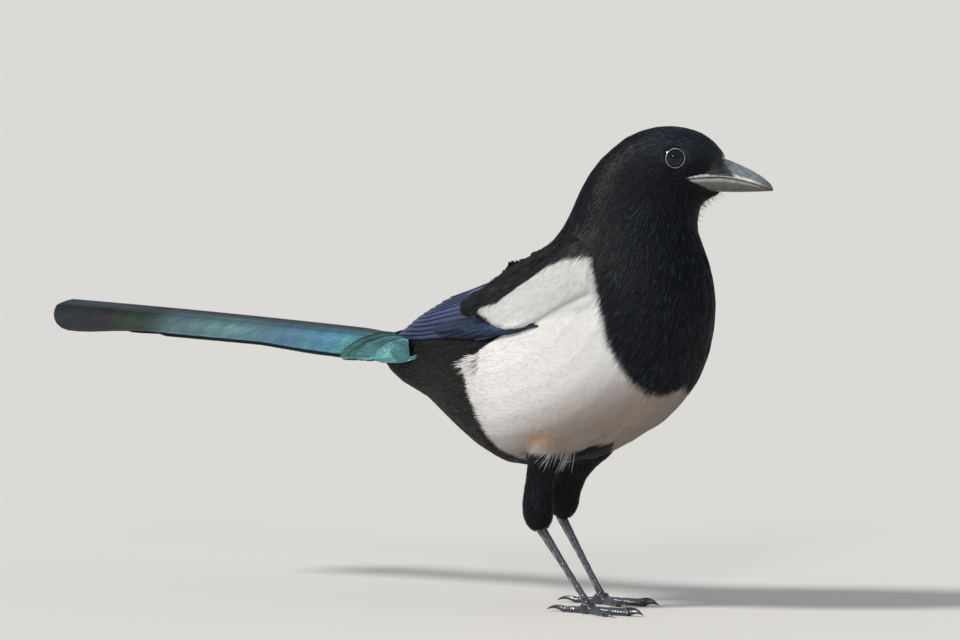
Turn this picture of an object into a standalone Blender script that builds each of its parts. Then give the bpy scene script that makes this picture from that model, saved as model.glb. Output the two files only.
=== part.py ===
# A Eurasian magpie, life size, standing on both feet with its head turned to its left.
# Metres, +Z up. The bird faces +X, its right side faces -Y, and the floor is at z = 0.

import math

import bmesh
import bpy
from mathutils import Matrix, Vector
from mathutils.bvhtree import BVHTree

# Gaps and thicknesses
node_gap = 0.00035
weld_distance = 0.00002
sliver_height = 0.000005
vane_thickness = 0.00055
vane_pitch = 0.0009

# The whole bird, measured from the point on the floor between its feet
stance_x = 0.1204
head_turn = math.radians(35)
neck_x = 0.020

# Trunk rings from the tail's end to the face, as if the head looked straight ahead:
# back point (x, z), belly point (x, z), half width, share of the head's turn, how far above
# the middle it is widest, and how much narrower it is below the mouth
trunk_rings = (
    ("under_tail", (-0.1230, 0.1290), (-0.1270, 0.1150), 0.0090, 0.0, 0.0, 0.0),
    ("tail_root", (-0.1080, 0.1300), (-0.1120, 0.1045), 0.0140, 0.0, 0.0, 0.0),
    ("rump", (-0.0900, 0.1365), (-0.0950, 0.0975), 0.0205, 0.0, 0.0, 0.0),
    ("vent", (-0.0720, 0.1460), (-0.0740, 0.0830), 0.0300, 0.0, 0.0, 0.0),
    ("flank", (-0.0550, 0.1565), (-0.0480, 0.0690), 0.0385, 0.0, 0.0, 0.0),
    ("belly", (-0.0420, 0.1650), (-0.0200, 0.0700), 0.0420, 0.0, 0.0, 0.0),
    ("keel", (-0.0335, 0.1720), (0.0130, 0.0790), 0.0425, 0.0, 0.0, 0.0),
    ("low_breast", (-0.0270, 0.1775), (0.0400, 0.0985), 0.0415, 0.0, 0.0, 0.0),
    ("breast", (-0.0220, 0.1825), (0.0550, 0.1225), 0.0390, 0.0, 0.0, 0.0),
    ("chest", (-0.0170, 0.1885), (0.0600, 0.1480), 0.0345, 0.05, 0.0, 0.0),
    ("neck_base", (-0.0115, 0.1965), (0.0570, 0.1680), 0.0285, 0.25, 0.0, 0.0),
    ("neck", (-0.0050, 0.2070), (0.0510, 0.1840), 0.0230, 0.6, 0.0, 0.0),
    ("nape", (0.0032, 0.2190), (0.0520, 0.1930), 0.0190, 0.9, 0.0, 0.0),
    ("hind_head", (0.0155, 0.2305), (0.0530, 0.1970), 0.0170, 1.0, 0.0, 0.05),
    ("crown", (0.0310, 0.2360), (0.0548, 0.1990), 0.0157, 1.0, 0.05, 0.15),
    ("brow", (0.0452, 0.2355), (0.0568, 0.2003), 0.0131, 1.0, 0.10, 0.30),
    ("forehead", (0.0565, 0.2300), (0.0592, 0.2013), 0.0101, 1.0, 0.12, 0.40),
    ("face", (0.0628, 0.2232), (0.0618, 0.2026), 0.0079, 1.0, 0.15, 0.45),
    ("bill_base", (0.0650, 0.2185), (0.0640, 0.2045), 0.0060, 1.0, 0.10, 0.45),
)
trunk_sides = 28
rings_per_span = 2

# Eyes, in the straight-ahead head
eye_x = 0.0395
eye_z = 0.2197
eye_across = 0.0107
eye_radius = 0.0065
lid_radius = 0.0043
lid_thickness = 0.0006
eye_forward = math.radians(14)

# Bill stations: x, culmen z, mouth z, lower edge z, half width
bill_stations = (
    (0.0475, 0.2155, 0.2101, 0.2045, 0.0080),
    (0.0560, 0.2185, 0.2106, 0.2037, 0.0080),
    (0.0628, 0.2200, 0.2105, 0.2034, 0.0072),
    (0.0690, 0.2177, 0.2096, 0.2031, 0.0058),
    (0.0764, 0.2142, 0.2076, 0.2033, 0.0043),
    (0.0822, 0.2108, 0.2062, 0.2037, 0.0029),
    (0.0860, 0.2074, 0.2052, 0.2043, 0.0015),
)
bill_tip = (0.0873, 0.2048)

# Nasal plumes: angle down from the bill's ridge, and how far forward each lock reaches
plume_locks = (
    (8, 0.0640), (20, 0.0662), (32, 0.0648), (44, 0.0678), (56, 0.0662), (68, 0.0694), (79, 0.0660),
)
plume_start = 0.0560

# Tail feathers, central pair first: how far each reaches behind tail_root_x
tail_root_x = -0.1135
tail_lengths = (0.2025, 0.1675, 0.1425, 0.1145, 0.0925, 0.0725)
tail_ridge = (0.1296, 0.0505, -0.067)
tail_sink = 0.0028
tail_sink_length = 0.0150
inner_web = 0.0100
outer_web = 0.0132
outer_web_step = 0.00115
inner_slope = math.radians(14)
outer_slope = math.radians(44)

# Wings: a line through the body that the wing lies around
wing_axis_x = -0.060
wing_axis_z = 0.128
wing_axis_slope = 0.20
wing_rear_x = -0.106
# The feathered arm: x, upper angle, lower angle, thickness above, thickness below
arm_stations = (
    (0.018, 46, 70, 0.0012, 0.0012),
    (0.006, 38, 78, 0.0034, 0.0020),
    (-0.010, 30, 86, 0.0052, 0.0022),
    (-0.026, 24, 89, 0.0062, 0.0022),
    (-0.042, 20, 88, 0.0066, 0.0022),
    (-0.056, 18, 84, 0.0066, 0.0022),
    (-0.066, 20, 78, 0.0052, 0.0020),
)
flight_count = 8
flight_half_width = 0.0068
# Shorter feathers on the arm: places (x, angle) of the tips, which way the roots lie, half width
wing_tiers = {
    "covert": (((-0.052, 66), (-0.052, 73), (-0.047, 80), (-0.038, 86)), (0.030, -4), 0.0034),
    "scapular": (((-0.064, 56), (-0.067, 44), (-0.069, 32)), (0.028, -6), 0.0050),
}
tier_tilt = 0.0006

# Legs: (x, y, z) of the heel and the foot, right then left
leg_points = {
    "right": ((-0.0190, -0.0220, 0.0390), (0.0090, -0.0230, 0.0045)),
    "left": ((-0.0375, 0.0220, 0.0405), (-0.0150, 0.0230, 0.0045)),
}
# Feathered thighs, from the top down: x, z, radius; they lean in towards the body by thigh_lean
thigh_stations = {
    "right": (
        (-0.0150, 0.0860, 0.0105),
        (-0.0180, 0.0760, 0.0082),
        (-0.0208, 0.0680, 0.0066),
        (-0.0218, 0.0600, 0.0067),
        (-0.0217, 0.0525, 0.0078),
        (-0.0213, 0.0465, 0.0078),
        (-0.0206, 0.0420, 0.0062),
        (-0.0197, 0.0388, 0.0037),
    ),
    "left": (
        (-0.0120, 0.0860, 0.0110),
        (-0.0190, 0.0780, 0.0102),
        (-0.0250, 0.0710, 0.0082),
        (-0.0300, 0.0640, 0.0070),
        (-0.0340, 0.0560, 0.0069),
        (-0.0365, 0.0490, 0.0076),
        (-0.0369, 0.0440, 0.0060),
        (-0.0372, 0.0408, 0.0034),
    ),
}
thigh_lean = 0.0020
shank_sink = 0.0025
toe_radius = 0.0021
toes = {  # angle from straight ahead towards the outside, bare length
    "middle": (2, 0.0250),
    "inner": (-27, 0.0180),
    "outer": (30, 0.0195),
    "hind": (183, 0.0150),
}
claw_lengths = {"middle": 0.0080, "inner": 0.0075, "outer": 0.0070, "hind": 0.0100}


def material(name, colour, roughness):
    made = bpy.data.materials.new(name)
    made.use_nodes = True
    shader = made.node_tree.nodes["Principled BSDF"]
    shader.inputs["Base Color"].default_value = (*colour, 1.0)
    shader.inputs["Roughness"].default_value = roughness
    made.diffuse_color = (*colour, 1.0)
    return made


def make_object(name, mesh_data, finish, collection):
    """A named object from a bmesh, with its normals pointing out."""
    bmesh.ops.recalc_face_normals(mesh_data, faces=mesh_data.faces)
    mesh = bpy.data.meshes.new(name)
    mesh_data.to_mesh(mesh)
    mesh_data.free()
    mesh.materials.append(finish)
    made = bpy.data.objects.new(name, mesh)
    collection.objects.link(made)
    return made


def remove_object(unwanted):
    bpy.data.objects.remove(unwanted, do_unlink=True)


def evaluated_mesh(source):
    bpy.context.view_layer.update()
    graph = bpy.context.evaluated_depsgraph_get()
    return bpy.data.meshes.new_from_object(source.evaluated_get(graph))


def apply_boolean(target, operation, tools):
    """Joins the tools to the target, or cuts them from it, and removes them."""
    group = bpy.data.collections.new("tools")
    bpy.context.scene.collection.children.link(group)
    for tool in tools:
        group.objects.link(tool)
    modifier = target.modifiers.new(operation.lower(), "BOOLEAN")
    modifier.operation = operation
    modifier.operand_type = "COLLECTION"
    modifier.collection = group
    modifier.solver = "EXACT"
    result = evaluated_mesh(target)
    target.modifiers.remove(modifier)
    target.data = result
    for tool in tools:
        remove_object(tool)
    bpy.data.collections.remove(group)


def remove_doubled_faces(work):
    """Removes each pair of triangles that lie back to back on the same three points."""
    seen = {}
    doubled = []
    for face in work.faces:
        corners = frozenset(face.verts)
        if corners in seen:
            doubled += [face, seen[corners]]
        seen[corners] = face
    bmesh.ops.delete(work, geom=doubled, context="FACES")


def remove_slivers(work):
    """Merges the ends of short edges and turns the long edge of each flat triangle, so that it stays closed."""
    bmesh.ops.triangulate(work, faces=work.faces)
    remove_doubled_faces(work)
    for short in [edge for edge in work.edges if edge.calc_length() < weld_distance]:
        if not short.is_valid or short.calc_length() > weld_distance:
            continue
        first, second = short.verts
        around_first = {edge.other_vert(first) for edge in first.link_edges}
        around_second = {edge.other_vert(second) for edge in second.link_edges}
        if len(around_first & around_second) == 2:
            bmesh.ops.weld_verts(work, targetmap={first: second})
    for face in list(work.faces):
        if not face.is_valid:
            continue
        longest = max(face.edges, key=lambda edge: edge.calc_length())
        if 2 * face.calc_area() > sliver_height * longest.calc_length():
            continue
        corners = [v for beside in longest.link_faces for v in beside.verts if v not in longest.verts]
        if len(corners) == 2 and work.edges.get(corners) is None:
            bmesh.utils.edge_rotate(longest)
    remove_doubled_faces(work)


def keep_largest(target):
    """Keeps the target's largest closed surface, without the short edges and slivers that a Boolean leaves."""
    work = bmesh.new()
    work.from_mesh(target.data)
    unseen = set(work.faces)
    pieces = []
    while unseen:
        piece = {unseen.pop()}
        edge_of_piece = list(piece)
        while edge_of_piece:
            face = edge_of_piece.pop()
            for edge in face.edges:
                for neighbour in edge.link_faces:
                    if neighbour in unseen:
                        unseen.remove(neighbour)
                        piece.add(neighbour)
                        edge_of_piece.append(neighbour)
        pieces.append(piece)
    largest = max(pieces, key=lambda piece: sum(face.calc_area() for face in piece))
    spare = [face for piece in pieces if piece is not largest for face in piece]
    bmesh.ops.delete(work, geom=spare, context="FACES")
    remove_slivers(work)
    work.to_mesh(target.data)
    work.free()


def smooth_value(values, position):
    """A value between the listed ones, on a smooth curve through them."""
    last = len(values) - 1
    low = min(int(position), last - 1)
    share = position - low
    before = values[max(low - 1, 0)]
    start = values[low]
    end = values[low + 1]
    after = values[min(low + 2, last)]
    return start + 0.5 * share * (
        end - before
        + share * (2 * before - 5 * start + 4 * end - after + share * (3 * (start - end) + after - before))
    )


def add_loft(work, rings):
    """Faces between rings of equal length, with flat ends."""
    made = [[work.verts.new(point) for point in ring] for ring in rings]
    count = len(rings[0])
    for near, far in zip(made, made[1:]):
        for i in range(count):
            j = (i + 1) % count
            work.faces.new((near[i], near[j], far[j], far[i]))
    work.faces.new(made[0])
    work.faces.new(made[-1][::-1])


def loft_object(name, rings, finish, collection):
    work = bmesh.new()
    add_loft(work, rings)
    return make_object(name, work, finish, collection)


def limb_rings(path, radii, sides, depth=1.0, sideways=None):
    """Round rings square to a path, depth times as deep as wide."""
    rings = []
    for i, centre in enumerate(path):
        ahead = path[min(i + 1, len(path) - 1)] - path[max(i - 1, 0)]
        ahead.normalize()
        across = sideways - ahead * sideways.dot(ahead) if sideways else ahead.cross(Vector((0, 0, 1)))
        across.normalize()
        upward = across.cross(ahead)
        ring = []
        for k in range(sides):
            angle = 2 * math.pi * k / sides
            ring.append(
                centre
                + across * radii[i] * math.cos(angle)
                + upward * radii[i] * depth * math.sin(angle)
            )
        rings.append(ring)
    return rings


def vane_object(name, rows, finish, collection):
    """A thin closed plate with both faces split alike. A row holds (point, normal) pairs across it."""
    work = bmesh.new()
    top, bottom = [
        [[work.verts.new(point + normal * shift) for point, normal in row] for row in rows]
        for shift in (vane_thickness / 2, -vane_thickness / 2)
    ]
    across = len(rows[0])
    for i in range(len(rows) - 1):
        for j in range(across - 1):
            for sheet, turn in ((top, 1), (bottom, -1)):
                a, b = sheet[i][j], sheet[i][j + 1]
                c, d = sheet[i + 1][j + 1], sheet[i + 1][j]
                work.faces.new((a, b, c)[::turn])
                work.faces.new((a, c, d)[::turn])
        for j in (0, across - 1):
            work.faces.new((top[i][j], top[i + 1][j], bottom[i + 1][j], bottom[i][j]))
    for i in (0, len(rows) - 1):
        for j in range(across - 1):
            work.faces.new((top[i][j], top[i][j + 1], bottom[i][j + 1], bottom[i][j]))
    return make_object(name, work, finish, collection)


def vane_width(share, root_share, tip_share):
    """Width along a vane, as a share of its full width: narrow root, full middle, round tip."""
    rise = min(1.0, root_share + (1 - root_share) * share / 0.35)
    fall = max(0.0, (share - (1 - tip_share)) / tip_share)
    return rise * math.sqrt(max(1 - fall**2, 0.0))


def turned(point, share=1.0):
    """A straight-ahead point carried round by the head's turn."""
    pivot = Vector((neck_x, 0, 0))
    return Matrix.Rotation(head_turn * share, 3, "Z") @ (Vector(point) - pivot) + pivot


# Trunk: one loft from tail root to face, parted afterwards
def trunk_values(position):
    columns = list(
        zip(*((*back, *belly, *rest) for _, back, belly, *rest in trunk_rings))
    )
    return [smooth_value(column, position) for column in columns]


def trunk_point(position, angle, grow=0.0):
    """A point on the trunk: angle 0 is the back, and positive angles go down the left side."""
    back_x, back_z, belly_x, belly_z, half_width, turn, widest, pinch = trunk_values(position)
    back = Vector((back_x, 0, back_z))
    belly = Vector((belly_x, 0, belly_z))
    centre = (back + belly) / 2
    upward = (back - belly).normalized()
    half_height = (back - belly).length / 2
    rounding = 0.92
    cosine = math.copysign(abs(math.cos(angle)) ** rounding, math.cos(angle))
    sine = math.copysign(abs(math.sin(angle)) ** rounding, math.sin(angle))
    below = min(max(-cosine / 0.6, 0.0), 1.0)
    half_width *= 1 - pinch * below * below * (3 - 2 * below)
    point = (
        centre
        + upward * (half_height + grow) * (cosine + widest * sine**2)
        + Vector((0, 1, 0)) * (half_width + grow) * sine
    )
    return turned(point, turn)


def trunk_ring(position, grow=0.0):
    return [
        trunk_point(position, 2 * math.pi * k / trunk_sides, grow) for k in range(trunk_sides)
    ]


def trunk_loft(name, finish, collection, grow=0.0):
    spans = len(trunk_rings) - 1
    rings = [trunk_ring(i / rings_per_span, grow) for i in range(spans * rings_per_span + 1)]
    return loft_object(name, rings, finish, collection)


def cut_plane(position):
    """The plane of a trunk ring: a point on it and its normal, which points to the head."""
    ring = trunk_ring(position)
    centre = sum(ring, Vector()) / len(ring)
    quarter = trunk_sides // 4
    normal = (ring[0] - centre).cross(ring[quarter] - centre).normalized()
    ahead = trunk_point(position + 0.2, 0) + trunk_point(position + 0.2, math.pi)
    if normal.dot(ahead / 2 - centre) < 0:
        normal = -normal
    return centre, normal


def part_of_trunk(name, whole, finish, collection, behind=None, before=None):
    """The stretch of the trunk between two planes, each held back by half the gap."""
    work = bmesh.new()
    work.from_mesh(whole.data)
    for plane, keep in ((behind, 1), (before, -1)):
        if plane is None:
            continue
        centre, normal = plane
        bmesh.ops.bisect_plane(
            work,
            geom=list(work.verts) + list(work.edges) + list(work.faces),
            plane_co=centre + normal * keep * node_gap / 2,
            plane_no=normal * keep,
            clear_inner=True,
        )
        rim = [edge for edge in work.edges if edge.is_boundary]
        bmesh.ops.holes_fill(work, edges=rim)
    return make_object(name, work, finish, collection)


# Head: eye sockets with lids, the seat of the bill, and the plumes over its base
def eye_place(side):
    """Centre and outward direction of an eye; side is 1 on the left and -1 on the right."""
    centre = turned((eye_x, side * eye_across, eye_z))
    outward = Vector((math.sin(eye_forward), side * math.cos(eye_forward), 0.05)).normalized()
    return centre, Matrix.Rotation(head_turn, 3, "Z") @ outward


def ball_object(name, centre, radius, finish, collection, outward):
    work = bmesh.new()
    bmesh.ops.create_uvsphere(work, u_segments=16, v_segments=10, radius=radius)
    facing = outward.to_track_quat("Z", "Y").to_matrix().to_4x4()
    bmesh.ops.transform(work, matrix=Matrix.Translation(centre) @ facing, verts=work.verts)
    return make_object(name, work, finish, collection)


def lid_object(name, side, finish, collection):
    """A raised ring round the eye, as a turned tube."""
    centre, outward = eye_place(side)
    reach = math.sqrt((eye_radius + node_gap + lid_thickness / 2) ** 2 - lid_radius**2)
    facing = outward.to_track_quat("Z", "Y").to_matrix()
    rings = []
    around, sides = 20, 6
    for i in range(around):
        turn = 2 * math.pi * i / around
        spoke = Vector((math.cos(turn), math.sin(turn), 0))
        ring = []
        for k in range(sides):
            angle = 2 * math.pi * k / sides
            local = spoke * (lid_radius + lid_thickness * math.cos(angle))
            local += Vector((0, 0, reach + lid_thickness * math.sin(angle)))
            ring.append(centre + facing @ local)
        rings.append(ring)
    work = bmesh.new()
    made = [[work.verts.new(point) for point in ring] for ring in rings]
    for i in range(around):
        near, far = made[i], made[(i + 1) % around]
        for k in range(sides):
            m = (k + 1) % sides
            work.faces.new((near[k], near[m], far[m], far[k]))
    return make_object(name, work, finish, collection)


def bill_values(x):
    stations = [station[0] for station in bill_stations]
    low = max(i for i, start in enumerate(stations[:-1]) if start <= x or i == 0)
    share = (x - stations[low]) / (stations[low + 1] - stations[low])
    return [smooth_value([s[c] for s in bill_stations], low + share) for c in range(1, 5)]


def bill_point(x, angle, upper, grow=0.0):
    """A point on the bill, straight ahead: angle 0 is the middle line, 90 the right edge."""
    culmen, mouth, lower, half_width = bill_values(x)
    turn = math.radians(angle)
    across = (half_width + grow) * math.sin(turn)
    if upper:
        return Vector((x, -across, mouth + (culmen - mouth + grow) * math.cos(turn) ** 0.9))
    return Vector((x, -across, mouth - (mouth - lower + grow) * math.cos(turn) ** 0.8))


def bill_object(name, upper, finish, collection, grow=0.0):
    """One half of the bill: a row of half rings with a flat mouth side, ending in a tip."""
    angles = [-90 + 22.5 * i for i in range(9)]
    gap = Vector((0, 0, (node_gap / 2 - grow) * (1 if upper else -1)))
    rings = []
    for x, *_ in bill_stations:
        ring = []
        for angle in angles:
            point = bill_point(x, angle, upper, grow)
            if abs(angle) == 90:
                point.z = bill_values(x)[1] + gap.z
            if x == bill_stations[0][0]:
                point.x -= grow
            ring.append(turned(point))
        rings.append(ring)
    tip_x, tip_z = bill_tip
    drop = 0.0 if upper else 0.0006
    back = 0.0 if upper else 0.0012
    tip = Vector((tip_x - back + grow, 0, tip_z - drop))
    small = 0.0003
    rings.append(
        [
            turned(
                tip
                + Vector((0, -small * math.sin(math.radians(a)), 0))
                + Vector((0, 0, (small if upper else -small) * math.cos(math.radians(a))))
                + gap
            )
            for a in angles
        ]
    )
    return loft_object(name, rings, finish, collection)


def plume_object(name, side, finish, collection):
    """The nasal plumes of one side: a thin sheet over the upper mandible with a pointed edge."""
    columns = []
    for angle, reach in plume_locks:
        column = []
        for share in (0.0, 0.55, 1.0):
            x = plume_start + (reach - plume_start) * share
            high = turned(bill_point(x, -side * angle, True, 0.0011))
            low = turned(bill_point(x, -side * angle, True, 0.0))
            column.append((high, (high - low).normalized()))
        columns.append(column)
    return vane_object(name, columns, finish, collection)


# Wings: everything is laid over the trunk, around a line through the body
class WingFrame:
    """Lays points over one side of the trunk: x along the bird, angle down from the back."""

    def __init__(self, side, trunk_tree):
        self.side = side
        self.tree = trunk_tree

    def outward(self, angle):
        turn = math.radians(angle)
        return Vector((0, self.side * math.sin(turn), math.cos(turn)))

    def axis(self, x):
        return Vector((x, 0, wing_axis_z + wing_axis_slope * (x - wing_axis_x)))

    def radius(self, x, angle):
        """From the axis to the trunk's surface. Behind the trunk it goes on as it ends."""
        start = self.axis(max(x, wing_rear_x))
        distance = self.tree.ray_cast(start, self.outward(angle))[3]
        return distance or 0.012

    def point(self, x, angle, lift):
        return self.axis(x) + self.outward(angle) * (self.radius(x, angle) + lift)


def arm_values(x):
    """Upper angle, lower angle and the two thicknesses of the feathered arm at x."""
    stations = [-station[0] for station in arm_stations]
    place = min(max(-x, stations[0]), stations[-1])
    low = max(i for i, start in enumerate(stations[:-1]) if start <= place)
    share = (place - stations[low]) / (stations[low + 1] - stations[low])
    return [smooth_value([s[c] for s in arm_stations], low + share) for c in range(1, 5)]


def arm_lift(x, angle):
    """How far the feathered arm stands off the trunk."""
    upper, lower, thick_above, thick_below = arm_values(x)
    share = min(max((angle - upper) / (lower - upper), 0.0), 1.0)
    crown = math.sin(math.pi * min(max(share, 0.12), 0.88)) ** 0.5
    thick = (thick_above + (thick_below - thick_above) * share) * crown
    return node_gap + max(thick, 0.0008)


def arm_object(name, frame, finish, collection):
    """The feathered arm: a pillow over the side of the body, sunk a little into it."""
    across = 8
    rings = []
    for station in arm_stations:
        x = station[0]
        upper, lower = arm_values(x)[:2]
        angles = [upper + (lower - upper) * j / across for j in range(across + 1)]
        sunk = [frame.point(x, angle, -0.0020) for angle in angles]
        raised = [frame.point(x, angle, arm_lift(x, angle)) for angle in angles]
        rings.append(sunk + raised[::-1])
    return loft_object(name, rings, finish, collection)


def wing_vane(name, frame, root, tip, half_width, lift_at, finish, collection, steps=6):
    """A vane over the wing between two (x, angle) places, that far off the trunk."""
    rows = []
    for i in range(steps + 1):
        share = i / steps
        x = root[0] + (tip[0] - root[0]) * share
        angle = root[1] + (tip[1] - root[1]) * share
        width = half_width * max(vane_width(share, 0.75, 0.30), 0.28)
        spread = math.degrees(width / max(frame.radius(x, angle), 0.014))
        row = []
        for offset in (-1, 0, 1):
            place = angle + spread * offset
            row.append((frame.point(x, place, lift_at(share, x, place, offset)), frame.outward(place)))
        rows.append(row)
    return vane_object(name, rows, finish, collection)


def flight_vanes(frame, finish, collection):
    """The flight feathers: the innermost on top, each next one reaching farther back."""
    vanes = []
    for k in range(flight_count):
        share = k / (flight_count - 1)
        root = (-0.030, 30 + 50 * share)
        tip = (-0.084 - 0.032 * share**0.9, 17 + 18 * share)
        tip_lift = node_gap + 0.0005 + vane_pitch * (flight_count - 1 - k)

        def lift_at(along, x, angle, offset, tip_lift=tip_lift):
            return tip_lift * (0.55 + 0.45 * along)

        vanes.append(
            wing_vane(f"flight_{k}", frame, root, tip, flight_half_width, lift_at, finish, collection)
        )
    return vanes


def tier_vanes(frame, finish, collection):
    """The coverts and long scapulars, which lie on the arm like shingles."""

    def lift_at(along, x, angle, offset):
        out = min(along / 0.35, 1.0)
        return arm_lift(x, angle) - 0.0011 + 0.0023 * out + tier_tilt * offset * out

    vanes = []
    for tier, (tips, back_to_root, half_width) in wing_tiers.items():
        for k, tip in enumerate(tips):
            root = (tip[0] + back_to_root[0], tip[1] + back_to_root[1])
            vanes.append(
                wing_vane(f"{tier}_{k}", frame, root, tip, half_width, lift_at, finish, collection)
            )
    return vanes


def wing_object(side_name, trunk_tree, finish, collection, trunk_cutter):
    frame = WingFrame(-1 if side_name == "right" else 1, trunk_tree)
    arm = arm_object("wing_" + side_name, frame, finish, collection)
    vanes = flight_vanes(frame, finish, collection) + tier_vanes(frame, finish, collection)
    apply_boolean(arm, "UNION", vanes)
    apply_boolean(arm, "DIFFERENCE", [trunk_cutter])
    keep_largest(arm)
    return arm


# Tail: roof shaped, the central pair on top and the others in steps beneath it
def tail_line(distance):
    """Height of the tail's ridge at that distance behind the root, which is sunk in the coverts."""
    height, rise, sag = tail_ridge
    out = min(distance / tail_sink_length, 1.0)
    sunk = tail_sink * (1 - out * out * (3 - 2 * out))
    return height + rise * distance + sag * distance**2 - sunk


def tail_point(distance, across, layer, side):
    """A point on the roof: across is measured from the ridge down the slope."""
    inner_run = min(across, inner_web)
    outer_run = max(across - inner_web, 0.0)
    y = inner_run * math.cos(inner_slope) + outer_run * math.cos(outer_slope)
    drop = inner_run * math.sin(inner_slope) + outer_run * math.sin(outer_slope)
    slope = outer_slope if outer_run > 0 else inner_slope
    normal = Vector((0, side * math.sin(slope), math.cos(slope)))
    mean_normal = Vector((0, side * math.sin(0.5), math.cos(0.5)))
    point = Vector((tail_root_x - distance, side * y, tail_line(distance) - drop))
    spread = min(0.5 + 0.5 * distance / tail_sink_length, 1.0)
    return point - mean_normal * layer * vane_pitch * spread, normal


def tail_feather(name, pair, side, finish, collection):
    length = tail_lengths[pair]
    tip_length = 0.0130
    distances = [0.0, 0.006, 0.014, 0.032]
    middle = length - tip_length - 0.032
    distances += [0.032 + middle * share for share in (0.33, 0.67, 1.0)]
    distances += [length - tip_length * (1 - share) for share in (0.35, 0.65, 0.88, 1.0)]
    rows = []
    for distance in distances:
        into_tip = max(distance - length + tip_length, 0.0) / tip_length
        width = min(0.55 + 0.45 * distance / 0.014, 1.0)
        width *= max(math.sqrt(1 - into_tip**2), 0.22)
        outer = outer_web - pair * outer_web_step
        if pair == 0:
            outer += 0.0015 * min(distance / length, 1.0)
        inner = inner_web if distance > 0.032 else inner_web * min(0.42 + 0.58 * distance / 0.032, 1.0)
        ridge_side = 0.0004 + (inner - 0.0004) * (1 - math.sqrt(1 - into_tip**2)) * 0.8
        row = []
        for across in (ridge_side, inner, inner + outer * width):
            row.append(tail_point(distance, across, pair + 0.3, side))
        rows.append(row)
    return vane_object(name, rows, finish, collection)


def add_tail_feathers(stub, finish, collection):
    """The twelve feathers, grown from the coverts at the end of the trunk."""
    vanes = [
        tail_feather(f"rectrix_{pair}_{side}", pair, side, finish, collection)
        for pair in range(len(tail_lengths))
        for side in (-1, 1)
    ]
    apply_boolean(stub, "UNION", vanes)
    keep_largest(stub)


# Legs
def thigh_object(side_name, finish, collection, trunk_cutter):
    outside = -1 if side_name == "right" else 1
    stations = thigh_stations[side_name]
    top, heel = stations[0][1], stations[-1][1]
    path, radii = [], []
    for x, z, radius in stations:
        lean = thigh_lean * (z - heel) / (top - heel)
        path.append(Vector((x, leg_points[side_name][0][1] - outside * lean, z)))
        radii.append(radius)
    made = loft_object(
        "thigh_" + side_name, limb_rings(path, radii, 14, 1.0, Vector((0, 1, 0))), finish, collection
    )
    shank_cutter = shank_object(side_name, finish, collection, node_gap)
    apply_boolean(made, "DIFFERENCE", [trunk_cutter, shank_cutter])
    keep_largest(made)
    return made


def shank_object(side_name, finish, collection, grow=0.0):
    """The bare leg, with the front plates as low steps."""
    heel = Vector(leg_points[side_name][0])
    foot = Vector(leg_points[side_name][1])
    down = (foot - heel).normalized()
    start = heel - down * (shank_sink + grow)
    foot = foot + down * grow
    steps = 14
    path, radii = [], []
    for i in range(steps + 1):
        share = i / steps
        path.append(start.lerp(foot, share))
        taper = 0.0021 - 0.0008 * math.sin(min(share / 0.75, 1.0) * math.pi / 2)
        plate = 0.0001 if i % 2 else 0.0
        radii.append(taper + 0.0003 * max(share - 0.8, 0) * 5 + plate + grow)
    rings = limb_rings(path, radii, 10, 1.3, Vector((0, 1, 0)))
    return loft_object("shank_" + side_name, rings, finish, collection)


def toe_direction(side_name, toe):
    outside = -1 if side_name == "right" else 1
    angle = math.radians(toes[toe][0]) * outside
    return Vector((math.cos(angle), math.sin(angle), 0))


def toe_object(side_name, toe, finish, collection):
    """A toe with pads under its joints, cut flat where it stands."""
    foot = Vector(leg_points[side_name][1])
    ahead = toe_direction(side_name, toe)
    length = toes[toe][1]
    steps = 8
    path, radii = [], []
    for i in range(steps + 1):
        share = i / steps
        radius = toe_radius * (1.0 - 0.22 * share) * (1.0 + 0.08 * math.cos(share * 6 * math.pi))
        height = 0.0013 + 0.0007 * (1 - share) ** 2
        path.append(Vector((foot.x, foot.y, height)) + ahead * (length * share))
        radii.append(radius)
    return loft_object(toe, limb_rings(path, radii, 8), finish, collection)


def foot_object(side_name, finish, collection):
    foot = Vector(leg_points[side_name][1])
    lean = (Vector(leg_points[side_name][0]) - foot).normalized()
    path = [Vector((foot.x, foot.y, -0.0010)), Vector((foot.x, foot.y, 0.0024)), foot + lean * 0.0008]
    palm = loft_object(
        "foot_" + side_name,
        limb_rings(path, (0.0038, 0.0040, 0.0036), 12, 1.0, Vector((0, 1, 0))),
        finish,
        collection,
    )
    apply_boolean(palm, "UNION", [toe_object(side_name, toe, finish, collection) for toe in toes])
    work = bmesh.new()
    bmesh.ops.create_cube(work, size=0.2, matrix=Matrix.Translation((foot.x, foot.y, -0.1)))
    cutters = [
        make_object("floor", work, finish, collection),
        shank_object(side_name, finish, collection, node_gap),
    ]
    apply_boolean(palm, "DIFFERENCE", cutters)
    keep_largest(palm)
    return palm


def claw_object(side_name, toe, finish, collection):
    foot = Vector(leg_points[side_name][1])
    ahead = toe_direction(side_name, toe)
    start = Vector((foot.x, foot.y, 0.0017)) + ahead * (toes[toe][1] + node_gap)
    length = claw_lengths[toe]
    steps = 5
    path, radii = [], []
    for i in range(steps + 1):
        share = i / steps
        arch = 0.0012 * (math.sin(math.pi * share * 0.9) - share)
        path.append(start + ahead * (length * share) + Vector((0, 0, arch)))
        radii.append(0.00135 * (1 - share) ** 0.8 + 0.0002)
    return loft_object(f"claw_{side_name}_{toe}", limb_rings(path, radii, 6), finish, collection)


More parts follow.
